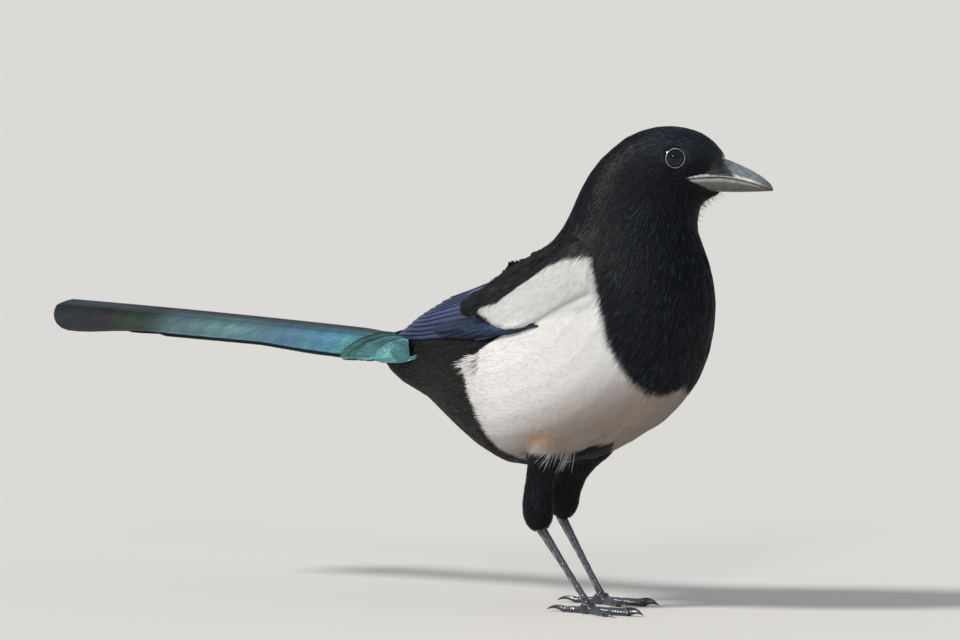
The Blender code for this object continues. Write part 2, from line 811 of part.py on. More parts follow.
def build_magpie():
    for existing in list(bpy.data.objects):
        bpy.data.objects.remove(existing, do_unlink=True)
    bird = bpy.data.collections.new("magpie")
    bpy.context.scene.collection.children.link(bird)

    black = material("black_feathers", (0.012, 0.013, 0.018), 0.55)
    white = material("white_feathers", (0.80, 0.77, 0.72), 0.7)
    blue = material("blue_wing_feathers", (0.035, 0.06, 0.19), 0.4)
    teal = material("green_tail_feathers", (0.02, 0.14, 0.15), 0.35)
    horn = material("bill_and_claws", (0.02, 0.02, 0.024), 0.35)
    scales = material("leg_scales", (0.018, 0.018, 0.022), 0.5)
    glassy = material("eye", (0.012, 0.008, 0.006), 0.05)

    # Whole trunk, and the pieces that are cut from it
    whole = trunk_loft("whole_trunk", black, bird)
    tail_plane = cut_plane(1.0)
    neck_plane = cut_plane(9.5)
    head_plane = cut_plane(12.5)
    torso = part_of_trunk("torso", whole, white, bird, behind=tail_plane, before=neck_plane)
    tail = part_of_trunk("tail", whole, teal, bird, before=tail_plane)
    part_of_trunk("neck", whole, black, bird, behind=neck_plane, before=head_plane)
    head = part_of_trunk("head", whole, black, bird, behind=head_plane)
    remove_object(whole)

    # Head
    raised = [lid_object(f"lid_{side}", side, black, bird) for side in (-1, 1)]
    raised += [plume_object(f"plume_{side}", side, black, bird) for side in (-1, 1)]
    apply_boolean(head, "UNION", raised)
    cutters = [bill_object(f"bill_seat_{upper}", upper, horn, bird, node_gap) for upper in (True, False)]
    for side in (-1, 1):
        centre, outward = eye_place(side)
        cutters.append(
            ball_object(f"socket_{side}", centre, eye_radius + node_gap, black, bird, outward)
        )
    apply_boolean(head, "DIFFERENCE", cutters)
    keep_largest(head)
    bill_object("bill_upper", True, horn, bird)
    bill_object("bill_lower", False, horn, bird)
    for side, side_name in ((-1, "right"), (1, "left")):
        centre, outward = eye_place(side)
        ball_object("eye_" + side_name, centre, eye_radius, glassy, bird, outward)

    # Wings and tail
    trunk_tree = BVHTree.FromObject(torso, bpy.context.evaluated_depsgraph_get())
    for side_name in ("right", "left"):
        trunk_cutter = trunk_loft("trunk_cutter", black, bird, grow=node_gap)
        wing_object(side_name, trunk_tree, blue, bird, trunk_cutter)
    add_tail_feathers(tail, teal, bird)

    # Legs
    for side_name in ("right", "left"):
        trunk_cutter = trunk_loft("trunk_cutter", black, bird, grow=node_gap)
        thigh_object(side_name, black, bird, trunk_cutter)
        shank_object(side_name, scales, bird)
        foot_object(side_name, scales, bird)
        for toe in toes:
            claw_object(side_name, toe, horn, bird)

    for node in bird.objects:
        node.data.transform(Matrix.Translation((stance_x, 0, 0)))


build_magpie()
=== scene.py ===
import math

import bmesh
import bpy
import numpy as np
from mathutils import Matrix, Vector
from mathutils.bvhtree import BVHTree
from mathutils.kdtree import KDTree


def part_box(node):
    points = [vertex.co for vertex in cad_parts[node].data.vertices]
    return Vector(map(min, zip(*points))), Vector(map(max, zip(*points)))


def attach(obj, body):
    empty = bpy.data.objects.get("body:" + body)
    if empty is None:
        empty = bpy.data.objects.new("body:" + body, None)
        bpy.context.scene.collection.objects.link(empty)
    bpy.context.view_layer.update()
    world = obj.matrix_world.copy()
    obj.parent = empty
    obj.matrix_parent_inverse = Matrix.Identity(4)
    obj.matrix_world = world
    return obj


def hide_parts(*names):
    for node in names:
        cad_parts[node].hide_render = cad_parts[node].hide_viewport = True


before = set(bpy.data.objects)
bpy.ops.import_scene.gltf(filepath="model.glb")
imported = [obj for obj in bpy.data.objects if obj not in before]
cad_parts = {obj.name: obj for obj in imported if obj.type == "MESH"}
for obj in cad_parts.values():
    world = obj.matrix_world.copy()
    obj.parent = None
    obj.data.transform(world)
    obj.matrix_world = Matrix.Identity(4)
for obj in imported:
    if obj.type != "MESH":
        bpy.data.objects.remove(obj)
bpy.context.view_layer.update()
mm = 0.001

bird = {
    "stanceX": 120.4,        # where the bird's own middle stands in the frame, in mm
    "headTurn": 35.0,        # degrees to its left
    "neckX": 20.0,           # the head turns about this line
    "seed": 11,
}
stance = np.array([bird["stanceX"], 0, 0])


# Places in the bird's own millimetres, and in its head as if it looked straight ahead
def inBird(points):
    return np.asarray(points, float) / mm - stance


def fromBird(points):
    return (np.asarray(points, float) + stance) * mm


def turnAboutNeck(points, degrees):
    turn = math.radians(degrees)
    cosine, sine = math.cos(turn), math.sin(turn)
    x, y, z = (points - np.array([bird["neckX"], 0, 0])).T
    return np.stack([x * cosine - y * sine + bird["neckX"], x * sine + y * cosine, z], 1)


def straightHead(points):
    return turnAboutNeck(points, -bird["headTurn"])


def headToBird(points):
    return turnAboutNeck(np.asarray(points, float), bird["headTurn"])


def smoothStep(low, high, values):
    share = np.clip((np.asarray(values, float) - low) / (high - low), 0, 1)
    return share * share * (3 - 2 * share)


def unit(vectors):
    return vectors / (np.linalg.norm(vectors, axis=-1, keepdims=True) + 1e-12)


# Objects and attributes
def newObject(name, mesh, finish=None):
    made = bpy.data.objects.new(name, mesh)
    bpy.context.scene.collection.objects.link(made)
    if finish:
        mesh.materials.clear()
        mesh.materials.append(finish)
    return made


# Verts in metres, the corner indices of all faces in a row, and the number of corners of each face.
def meshFromArrays(name, verts, corners, counts):
    mesh = bpy.data.meshes.new(name)
    mesh.vertices.add(len(verts))
    mesh.vertices.foreach_set("co", np.asarray(verts, np.float32).ravel())
    mesh.loops.add(len(corners))
    mesh.loops.foreach_set("vertex_index", np.asarray(corners, np.int32))
    starts = np.concatenate([[0], np.cumsum(counts)[:-1]]).astype(np.int32)
    mesh.polygons.add(len(counts))
    mesh.polygons.foreach_set("loop_start", starts)
    mesh.update(calc_edges=True)
    mesh.shade_smooth()
    return mesh


def readPoints(mesh):
    points = np.empty(len(mesh.vertices) * 3, np.float32)
    mesh.vertices.foreach_get("co", points)
    return points.reshape(-1, 3).astype(float)


def writePoints(mesh, points):
    mesh.vertices.foreach_set("co", np.asarray(points, np.float32).ravel())
    mesh.update()


def paintTint(mesh, colours):
    tint = mesh.color_attributes.new("tint", "FLOAT_COLOR", "POINT")
    full = np.ones((len(colours), 4), np.float32)
    full[:, :3] = colours
    tint.data.foreach_set("color", full.ravel())


def applyModifiers(piece):
    bpy.context.view_layer.update()
    graph = bpy.context.evaluated_depsgraph_get()
    made = bpy.data.meshes.new_from_object(piece.evaluated_get(graph))
    piece.modifiers.clear()
    piece.data = made
    return made


# Materials
def newFinish(name, roughness, **sockets):
    finish = bpy.data.materials.new(name)
    finish.use_nodes = True
    shader = finish.node_tree.nodes["Principled BSDF"]
    shader.inputs["Roughness"].default_value = roughness
    for socket, value in sockets.items():
        shader.inputs[socket.replace("_", " ")].default_value = value
    return finish, finish.node_tree.nodes, finish.node_tree.links, shader


# Reads the piece's own tint, with a little mottling.
def tintedFinish(name, roughness, noiseScale, noiseDepth, **sockets):
    finish, nodes, links, shader = newFinish(name, roughness, **sockets)
    tint = nodes.new("ShaderNodeAttribute")
    tint.attribute_name = "tint"
    coords = nodes.new("ShaderNodeTexCoord")
    noise = nodes.new("ShaderNodeTexNoise")
    noise.inputs["Scale"].default_value = noiseScale
    noise.inputs["Detail"].default_value = 3
    spread = nodes.new("ShaderNodeMapRange")
    spread.inputs["To Min"].default_value = 1 - noiseDepth
    spread.inputs["To Max"].default_value = 1 + noiseDepth
    mix = nodes.new("ShaderNodeVectorMath")
    mix.operation = "SCALE"
    links.new(coords.outputs["Object"], noise.inputs["Vector"])
    links.new(noise.outputs["Fac"], spread.inputs["Value"])
    links.new(tint.outputs["Color"], mix.inputs[0])
    links.new(spread.outputs["Result"], mix.inputs["Scale"])
    links.new(mix.outputs["Vector"], shader.inputs["Base Color"])
    return finish, nodes, links, shader


# Camera, floor and light
view = {
    "azimuth": 35.0,
    "elevation": 4.5,
    "distance": 12.0,
    "frameWidth": 960 * 0.485 * mm,      # what the frame takes in at the bird
    "centre": (-58.2, 140.2),            # the frame's middle, to the right of and above the stance, in mm
}


def makeCamera():
    azimuth, elevation = math.radians(view["azimuth"]), math.radians(view["elevation"])
    right = Vector((math.cos(azimuth), math.sin(azimuth), 0))
    back = Vector((math.sin(azimuth) * math.cos(elevation), -math.cos(azimuth) * math.cos(elevation),
                   math.sin(elevation)))
    up = back.cross(right)
    target = Vector(stance * mm) + right * view["centre"][0] * mm + up * view["centre"][1] * mm
    lens = bpy.data.cameras.new("camera")
    lens.sensor_width = 36
    lens.lens = 36 * view["distance"] / view["frameWidth"]
    lens.clip_end = 100
    camera = bpy.data.objects.new("camera", lens)
    camera.location = target + back * view["distance"]
    camera.rotation_mode = "QUATERNION"
    camera.rotation_quaternion = (-back).to_track_quat("-Z", "Y")
    bpy.context.scene.collection.objects.link(camera)
    bpy.context.scene.camera = camera


studio = {
    "floorColour": (0.70, 0.685, 0.66),
    "worldColour": (0.86, 0.89, 0.94),
    "worldStrength": 0.42,
    "suns": (                # name, where the light comes from, softness in degrees, strength, colour
        ("key", (-1.05, -1.5, 1.62), 12, 2.9, (1.0, 0.97, 0.925)),
        ("window", (0.404, -0.804, 0.434), 10, 0.5, (0.94, 0.97, 1.0)),
        ("fill", (2.2, -0.9, 0.9), 60, 0.1, (0.92, 0.96, 1.0)),
    ),
}


def makeStudio():
    work = bmesh.new()
    bmesh.ops.create_grid(work, x_segments=8, y_segments=8, size=60.0)
    mesh = bpy.data.meshes.new("floor")
    work.to_mesh(mesh)
    work.free()
    finish, nodes, links, shader = newFinish("floorPaint", 0.8)
    shader.inputs["Base Color"].default_value = (*studio["floorColour"], 1)
    newObject("floor", mesh, finish)
    world = bpy.data.worlds.new("room")
    world.use_nodes = True
    background = world.node_tree.nodes["Background"]
    background.inputs["Color"].default_value = (*studio["worldColour"], 1)
    background.inputs["Strength"].default_value = studio["worldStrength"]
    bpy.context.scene.world = world
    bpy.context.scene.view_settings.view_transform = "Standard"
    for name, place, softness, strength, colour in studio["suns"]:
        sun = bpy.data.lights.new(name, "SUN")
        sun.angle = math.radians(softness)
        sun.energy = strength
        sun.color = colour
        holder = bpy.data.objects.new(name, sun)
        holder.location = Vector(place)
        holder.rotation_mode = "QUATERNION"
        holder.rotation_quaternion = Vector(place).to_track_quat("Z", "Y")
        bpy.context.scene.collection.objects.link(holder)


makeCamera()
makeStudio()
print("camera, floor and lamps are set")


# Skin: one surface made from copies of the flesh, sunk by the coat's depth
skinSizes = {
    "voxel": 1.15 * mm,
    "smoothing": 26,
    "billCut": 63.0,          # head and bill end here, straight ahead
    "wingCut": -67.0,         # the feathered arm ends here
    "tailCut": -121.0,
    "depth": {"face": 0.55, "head": 0.9, "body": 1.3, "thigh": 0.9},
}


# The node as a closed mesh, cut off by planes (point, normal of the side that goes), in bird millimetres.
def fleshCopy(node, cuts=()):
    work = bmesh.new()
    work.from_mesh(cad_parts[node].data)
    bmesh.ops.remove_doubles(work, verts=work.verts, dist=0.5e-5)
    for place, away in cuts:
        bmesh.ops.bisect_plane(work, geom=work.verts[:] + work.edges[:] + work.faces[:], dist=1e-7,
                               plane_co=fromBird(place), plane_no=away, clear_outer=True)
        bmesh.ops.holes_fill(work, edges=[edge for edge in work.edges if edge.is_boundary])
    return work


def neighbourMean(points, ends, count):
    total = np.zeros_like(points)
    np.add.at(total, ends[:, 0], points[ends[:, 1]])
    np.add.at(total, ends[:, 1], points[ends[:, 0]])
    return total / count[:, None]


# Smooths the points along the edges without shrinking the form.
def relax(points, ends, rounds, strength=0.5, back=-0.52):
    count = np.bincount(ends.ravel(), minlength=len(points)).astype(float)
    for turn in range(rounds * 2):
        factor = strength if turn % 2 == 0 else back
        points = points + factor * (neighbourMean(points, ends, count) - points)
    return points


def meshEnds(mesh):
    ends = np.empty(len(mesh.edges) * 2, np.int32)
    mesh.edges.foreach_get("vertices", ends)
    return ends.reshape(-1, 2)


def meshNormals(mesh):
    normals = np.empty(len(mesh.vertices) * 3, np.float32)
    mesh.vertex_normals.foreach_get("vector", normals)
    return normals.reshape(-1, 3).astype(float)


def makeSkinShape():
    ahead = turnAboutNeck(np.array([[1.0 + bird["neckX"], 0, 0]]), bird["headTurn"])[0]
    ahead -= np.array([bird["neckX"], 0, 0])
    billPlane = (turnAboutNeck(np.array([[skinSizes["billCut"], 0, 0]]), bird["headTurn"])[0], ahead)
    wingPlane = ((skinSizes["wingCut"], 0, 0), (-1, 0, 0))
    tailPlane = ((skinSizes["tailCut"], 0, 0), (-1, 0, 0))
    cuts = {"head": [billPlane], "bill_upper": [billPlane], "bill_lower": [billPlane], "tail": [tailPlane],
            "wing_right": [wingPlane], "wing_left": [wingPlane]}
    joined = bpy.data.meshes.new("skin")
    whole = bmesh.new()
    for node in ("torso", "neck", "head", "bill_upper", "bill_lower", "eye_right", "eye_left", "tail",
                 "thigh_right", "thigh_left", "wing_right", "wing_left"):
        part = fleshCopy(node, cuts.get(node, ()))
        part.to_mesh(joined)
        part.free()
        whole.from_mesh(joined)
    whole.to_mesh(joined)
    whole.free()
    skin = newObject("skin", joined)
    remesh = skin.modifiers.new("remesh", "REMESH")
    remesh.mode = "VOXEL"
    remesh.voxel_size = skinSizes["voxel"]
    mesh = applyModifiers(skin)
    keepLargest(mesh)
    points = relax(readPoints(mesh), meshEnds(mesh), skinSizes["smoothing"])
    writePoints(mesh, points)
    return skin


def keepLargest(mesh):
    ends = meshEnds(mesh)
    label = np.arange(len(mesh.vertices))
    while True:
        low = np.minimum(label[ends[:, 0]], label[ends[:, 1]])
        fresh = label.copy()
        np.minimum.at(fresh, ends[:, 0], low)
        np.minimum.at(fresh, ends[:, 1], low)
        fresh = fresh[fresh]
        if (fresh == label).all():
            break
        label = fresh
    main = np.bincount(label).argmax()
    work = bmesh.new()
    work.from_mesh(mesh)
    work.verts.ensure_lookup_table()
    bmesh.ops.delete(work, geom=[work.verts[i] for i in np.nonzero(label != main)[0]], context="VERTS")
    work.to_mesh(mesh)
    work.free()


skin = makeSkinShape()
print("skin", len(skin.data.vertices), "points")


# The wing lies around a line: x along the bird, and degrees down from the back, give a place on it
wingLine = {"x": -60.0, "height": 128.0, "slope": 0.20, "rearX": -106.0, "crest": 5.0}


def wingAxis(x):
    return np.array([x, 0, wingLine["height"] + wingLine["slope"] * (x - wingLine["x"])])


def wingOut(angle, side):
    turn = math.radians(angle)
    return np.array([0, side * math.sin(turn), math.cos(turn)])


def wingHeight(places):
    return places[:, 2] - (wingLine["height"] + wingLine["slope"] * (places[:, 0] - wingLine["x"]))


# Degrees down from the back
def wingAngle(places):
    return np.degrees(np.arctan2(np.abs(places[:, 1]), wingHeight(places)))


# How far the folded wings rise over the rump, in mm
def wingCrest(x, angle):
    return wingLine["crest"] * smoothStep(-52, -90, x) * smoothStep(-119, -98, x) * smoothStep(78, 40, angle)


def treeOf(mesh):
    verts = [Vector(place) for place in inBird(readPoints(mesh))]
    return BVHTree.FromPolygons(verts, [tuple(p.vertices) for p in mesh.polygons])


# From the wing's line to the outside of the body
def bodyRadius(tree, x, angle, side):
    start = Vector(wingAxis(max(x, wingLine["rearX"])))
    out = Vector(wingOut(angle, side))
    place = tree.ray_cast(start + out * 90, -out)[0]
    return (place - start).length if place else 12.0


def solidTree(*nodes):
    whole = bmesh.new()
    mesh = bpy.data.meshes.new("solids")
    for node in nodes:
        part = fleshCopy(node)
        part.to_mesh(mesh)
        part.free()
        whole.from_mesh(mesh)
    whole.to_mesh(mesh)
    whole.free()
    return treeOf(mesh)


bodyTree = solidTree("torso")

folds = {
    # the feathered arm ends at this line: place along the bird, and degrees down from the back
    "armEdge": ((34, 30), (26, 62), (20.3, 70.8), (13, 73.4), (5.4, 77.4), (-5.8, 83), (-13.4, 86.6), (-25.5, 86.7),
                (-33.4, 83.2), (-40.6, 78.1), (-45.6, 72.4), (-50, 68.5), (-58.5, 66), (-64, 60), (-66.5, 54),
                (-66, 47), (-59, 43), (-50, 41), (-48, 20), (-48, -20), (34, -20)),
    "armRadius": 38.0,           # turns degrees into millimetres for the distance to that line
    "lines": (                   # points of a hollow, its depth and its half width
        (((20.3, -37.6, 156.6), (13, -39.9, 153.6), (5.4, -41.7, 149.5), (-5.8, -42.6, 143.2),
          (-13.4, -41.9, 139.0)), 1.0, 1.5),
        (((37.9, -20.3, 104.7), (25.3, -19.2, 91.9), (10.6, -15.1, 81.2), (-2.9, -12.8, 75.6)), 1.3, 2.2),
    ),
}


# Distance in mm from points (x, y) to the border of a shape, positive inside
def insideDistance(x, y, corners):
    nearest = np.full(len(x), 1e9)
    inside = np.zeros(len(x), bool)
    for (x0, y0), (x1, y1) in zip(corners, corners[1:] + corners[:1]):
        length = (x1 - x0) ** 2 + (y1 - y0) ** 2
        share = np.clip(((x - x0) * (x1 - x0) + (y - y0) * (y1 - y0)) / length, 0, 1)
        nearest = np.minimum(nearest, np.hypot(x - x0 - share * (x1 - x0), y - y0 - share * (y1 - y0)))
        crosses = (y0 > y) != (y1 > y)
        at = x0 + (y - y0) * (x1 - x0) / (y1 - y0 + 1e-9)
        inside ^= crosses & (x < at)
    return np.where(inside, nearest, -nearest)


def armDepth(places):
    scale = math.radians(1) * folds["armRadius"]
    corners = [(x, angle * scale) for x, angle in folds["armEdge"]]
    return insideDistance(places[:, 0], wingAngle(places) * scale, corners)


# The arm's rear and lower border follows its line, and the plumage parts along the folds
def shapeFolds():
    mesh = skin.data
    places = inBird(readPoints(mesh))
    normals = meshNormals(mesh)
    angle = wingAngle(places)
    out = unit(np.stack([0 * angle, places[:, 1], wingHeight(places)], 1))
    places += out * (wingCrest(places[:, 0], angle) * (places[:, 2] > 112))[:, None]
    x, y, z = places.T
    toward = np.where(y < 0, normals[:, 0], -normals[:, 0])       # where the thighs pass one behind the other
    places += normals * (2.2 * np.clip(toward, 0, 1) * np.exp(-((z - 67) / 7) ** 2) * onThigh(places))[:, None]
    near = np.nonzero((places[:, 0] < 30) & (places[:, 0] > -72) & (angle < 110) & (places[:, 2] > 112)
                      & (places[:, 2] < 182))[0]
    share = smoothStep(-1.6, 1.2, armDepth(places[near]))
    for index, kept in zip(near, share):
        if kept > 0.999:
            continue
        place = places[index]
        middle = wingAxis(place[0])
        out = place - middle
        radius = np.linalg.norm(out)
        side = 1 if place[1] > 0 else -1
        bare = bodyRadius(bodyTree, place[0], angle[index], side)
        if radius > bare:
            places[index] = middle + out * ((bare + (radius - bare) * kept) / radius)
    for points, depth, width in folds["lines"]:
        for side in (1, -1):
            line = np.array(points, float) * np.array([1, side, 1])
            gap = alongLine(places, line)[0].min(1)
            places -= normals * (depth * np.exp(-(gap / width) ** 2))[:, None]
    writePoints(mesh, relax(fromBird(places), meshEnds(mesh), 3))


# Lines through the bird: along them runs the lie of the coat, and around them the skin is unwrapped
spine = np.array([(56.9, 25.8, 211), (36.4, 11.5, 217), (24, 2, 200), (18, 0, 172), (8, 0, 140), (-20, 0, 122),
                  (-60, 0, 120), (-100, 0, 118), (-128, 0, 121)], float)
thighTop = {"right": np.array([-16, -24, 80.0]), "left": np.array([-18, 24, 80.0])}
thighEnd = {"right": np.array([-19.5, -22, 38.0]), "left": np.array([-37, 22, 40.0])}


# For each point: distance to each stretch of the line, and its share along that stretch.
def alongLine(points, line):
    starts, steps = line[:-1], np.diff(line, axis=0)
    toPoint = points[:, None, :] - starts[None]
    share = (toPoint * steps).sum(2) / (steps**2).sum(1)
    share = np.clip(share, 0, 1)
    gap = np.linalg.norm(toPoint - share[..., None] * steps, axis=2)
    return gap, share


# 1 on the feathered thighs and 0 on the body.
def onThigh(places):
    share = np.zeros(len(places))
    for name in thighTop:
        gap = alongLine(places, np.array([thighTop[name], thighEnd[name]]))[0][:, 0]
        below = smoothStep(77.5, 74.5, places[:, 2])
        share = np.maximum(share, below * (gap < 15))
    return share


# Which way the feathers lie: from bill to tail, down the thighs, and back and down on the shoulder.
def coatLie(places, normals):
    gap, _ = alongLine(places, spine)
    weight = 1 / (gap + 4) ** 5
    lie = weight @ unit(np.diff(spine, axis=0))
    lie = unit(lie)
    straight = straightHead(places)
    throat = smoothStep(212, 196, straight[:, 2]) * smoothStep(150, 185, places[:, 2]) * smoothStep(25, 45, places[:, 0])
    lie += throat[:, None] * np.array([-0.3, 0, -1.1])
    angle = wingAngle(places)
    shoulder = smoothStep(22, 8, places[:, 0]) * smoothStep(-70, -55, places[:, 0]) * smoothStep(95, 80, angle)
    lie += (shoulder * smoothStep(20, 45, angle))[:, None] * np.array([-0.9, 0, -0.7])
    leg = onThigh(places)[:, None]
    lie = lie * (1 - leg) + leg * np.array([-0.15, 0, -1.0])
    lie -= normals * (lie * normals).sum(1, keepdims=True)
    return unit(lie)


# Markings: the same function colours the skin and the coat
markings = {
    # where the black bib ends: degrees down from the back, and the place along the bird
    "bib": ((40, 50, 62, 76, 92, 107, 120, 130, 142, 150, 162, 174, 180),
            (14, 17.8, 21.0, 24.2, 27.1, 28.9, 31.7, 34.4, 36.9, 39.1, 42.1, 45.8, 47.5)),
    "vent": ((80, 88, 94, 106, 115, 124, 132, 140, 149, 155, 161, 168, 180),
             (-18, -26, -38, -56, -53.6, -52, -49, -47.4, -44.6, -41.8, -36, -31, -28)),
    # corners of the white shoulder: place along the bird and degrees down
    "shoulder": ((24, 46), (16.9, 48.5), (4.8, 48.8), (-7, 49.9), (-15.9, 52.7), (-24.1, 58.1), (-29, 63), (-32.9, 67.5),
                 (-37.5, 68.2), (-45, 67), (-46.5, 69), (-41, 74.5), (-34.3, 81), (-27.8, 84.8), (-16.4, 86.6),
                 (-6.2, 92), (12.5, 92), (30, 92), (30, 60)),
    "white": (0.88, 0.87, 0.85),
    # painted shade and soiling under the white belly
    "underShadeAndSoil": (0.37, 0.305, 0.260),
    "rust": (0.50, 0.27, 0.12),
    "black": (0.0052, 0.0057, 0.0080),
    "brownBlack": (0.0085, 0.0075, 0.0075),
    # painted shade on the upper part of the white shoulder
    "shoulderPaintedShade": (0.77, 0.785, 0.79),
    # the black wedge under the belly ahead of the thighs: place along the bird and across
    "wedge": ((-16, -17.5), (-3.5, -16.6), (0.8, -14.3), (5.7, -12.0), (10.5, -10.0), (13.0, -8.5), (6.5, 0), (-0.5, 10),
              (-7, 20), (-16, 24)),
    "mantleBlack": (0.0125, 0.0130, 0.0135),
    "soft": 1.2,
}


def whiteShare(places):
    x = places[:, 0]
    angle = wingAngle(places)
    soft = markings["soft"]
    ahead = smoothStep(soft, -soft, x - np.interp(angle, *markings["bib"]))
    behind = smoothStep(-soft, soft, x - np.interp(angle, *markings["vent"]))
    flank = ahead * behind * (angle > 88.5)
    scale = math.radians(1) * folds["armRadius"]
    corners = [(corner[0], corner[1] * scale) for corner in markings["shoulder"]]
    shoulder = smoothStep(-0.4, 0.4, insideDistance(x, angle * scale, corners)) * ahead
    white = np.maximum(flank, shoulder) * (places[:, 2] < 178)
    wedge = smoothStep(-0.7, 0.7, insideDistance(x, places[:, 1], markings["wedge"])) * (places[:, 2] < 90)
    return white * (1 - np.maximum(onThigh(places), wedge))


# Soft blotches between -1 and 1, of about the given size in mm
def mottle(places, size, seed):
    rng = np.random.default_rng(seed)
    total = np.zeros(len(places))
    for _ in range(5):
        way = unit(rng.normal(size=3)) * (2 * math.pi / size) * rng.uniform(0.6, 1.5)
        total += np.sin(places @ way + rng.uniform(0, 6.3))
    return np.clip(total / 2.6, -1, 1)


# Linear colour at each place of the bird
def plumage(places):
    white = whiteShare(places)[:, None]
    x, y, z = places.T
    pale = np.array(markings["white"]) + np.zeros((len(places), 1))
    low = smoothStep(2, 31, 116 - z + 0.45 * x)[:, None]          # darker and browner underneath: painted shade on the underside, and soiled
    pale = pale * (1 - low) + np.array(markings["underShadeAndSoil"]) * low
    # painted shade: the white grows darker towards the rear flank
    pale = pale * (0.95 - 0.13 * smoothStep(-34, -50, x))[:, None]
    # painted shade: the upper part of the white shoulder is greyer
    upper = (smoothStep(86, 80, wingAngle(places)) * smoothStep(40, 10, x))[:, None]
    pale = pale * (1 - upper * (1 - np.array(markings["shoulderPaintedShade"])))
    stain = np.exp(-(((x + 15.5) / 6.5) ** 2 + ((z - 84) / 3.0) ** 2) - ((np.abs(y) - 29) / 12) ** 4)
    stain = (stain * (0.72 + 0.25 * mottle(places * np.array([1.4, 0.6, 0.5]), 1.5, 5)))[:, None]
    pale = pale * (1 - stain) + np.array(markings["rust"]) * stain
    dark = np.array(markings["black"]) + np.zeros((len(places), 1))
    rear = (smoothStep(-20, -60, x))[:, None]
    dark = dark * (1 - rear) + np.array(markings["brownBlack"]) * rear
    dark = dark + np.array([0.012, 0.022, 0.026]) * (smoothStep(-100, -108, x) * smoothStep(122, 127, z))[:, None]
    mantle = (smoothStep(76, 66, wingAngle(places)) * smoothStep(190, 172, z) * smoothStep(24, 8, x))[:, None]
    cloth = np.array(markings["mantleBlack"]) * (1 + 0.45 * mottle(places, 9, 3) + 0.3 * mottle(places, 3.5, 4))[:, None]
    dark = dark * (1 - mantle) + np.clip(cloth, 0.004, 1) * mantle
    # painted sheen: the black of the crown lighter and bluer
    headSheen = (smoothStep(214, 228, z) * smoothStep(20, 34, x))[:, None]
    dark = dark + np.array([0.014, 0.017, 0.022]) * headSheen
    return dark * (1 - white) + pale * white


eyeRadius = 6.5
eyePlaces = {}
for name in ("right", "left"):
    low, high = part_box("eye_" + name)
    eyePlaces[name] = inBird([(low + high) / 2])[0] + np.array([-1.15, 0.0, 1.45])


eyes = {
    "lookAhead": 14.0,          # degrees forward of sideways
    "pupil": 2.3,
    "iris": 4.5,
    "pupilTint": (0.002, 0.002, 0.003),
    "irisTint": (0.006, 0.007, 0.012),
    "rimTint": (0.003, 0.003, 0.003),
    "lidRadius": 4.65,
    "lidThickness": 0.2,
    # painted highlight: the pale ring is the lid's edge catching the light
    "lidHighlight": (0.46, 0.46, 0.49),
}


def lookWay(side):
    turn = math.radians(eyes["lookAhead"])
    ahead = np.array([[bird["neckX"] + math.sin(turn), side * math.cos(turn), 0.0]])
    return headToBird(ahead)[0] - np.array([bird["neckX"], 0, 0])


# How far places lie from the line along which the nearer eye looks
def eyeGap(places):
    gaps = []
    for side, name in ((-1, "right"), (1, "left")):
        look = lookWay(side)
        out = places - eyePlaces[name]
        height = out @ look
        gaps.append(np.where(height > 0, np.linalg.norm(out - height[:, None] * look, axis=1), 99))
    return np.minimum(*gaps)


def finishSkin():
    mesh = skin.data
    normals = meshNormals(mesh)
    points = readPoints(mesh)
    places = inBird(points)
    straight = straightHead(places)
    depths = skinSizes["depth"]
    face = smoothStep(30, 50, straight[:, 0]) * (places[:, 2] > 190)
    head = smoothStep(190, 205, places[:, 2])
    leg = onThigh(places)
    depth = depths["body"] + (depths["head"] - depths["body"]) * head + (depths["face"] - depths["head"]) * face * head
    depth += (depths["thigh"] - depths["body"]) * leg
    x, y, z = places.T
    depth += 0.6 * smoothStep(218, 226, z) * smoothStep(54, 44, straight[:, 0])
    sink = 0.9 * smoothStep(-64, -54, x) + 1.2 * smoothStep(-44, -30, x)
    depth += sink * smoothStep(2, -14, x) * smoothStep(72, 52, wingAngle(places))
    depth += 1.5 * smoothStep(54, 60, straight[:, 0]) * smoothStep(213, 209, z) * smoothStep(202, 205, z)
    depth += 1.3 * smoothStep(0, 12, x) * smoothStep(48, 30, x) * smoothStep(94, 84, z)
    places = inBird(points - normals * depth[:, None] * mm)
    for side, name in ((-1, "right"), (1, "left")):         # a shallow hollow round each eye
        look = lookWay(side)
        out = places - eyePlaces[name]
        height = out @ look
        off = np.linalg.norm(out - height[:, None] * look, axis=1)
        over = np.clip(height - 4.1 - 6 * smoothStep(5.2, 11, off), 0, 3) * (height > 0) * (off < 11)
        places -= over[:, None] * look
    writePoints(mesh, fromBird(places))
    paintTint(mesh, plumage(inBird(readPoints(mesh))) * 0.6)
    mesh.shade_smooth()
    finish, *_ = tintedFinish("skinUnderCoat", 0.8, 900, 0.25)
    mesh.materials.clear()
    mesh.materials.append(finish)
    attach(skin, "root")
    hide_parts("torso", "neck", "head", "thigh_right", "thigh_left")


shapeFolds()
finishSkin()
print("the skin is shaped and coloured")


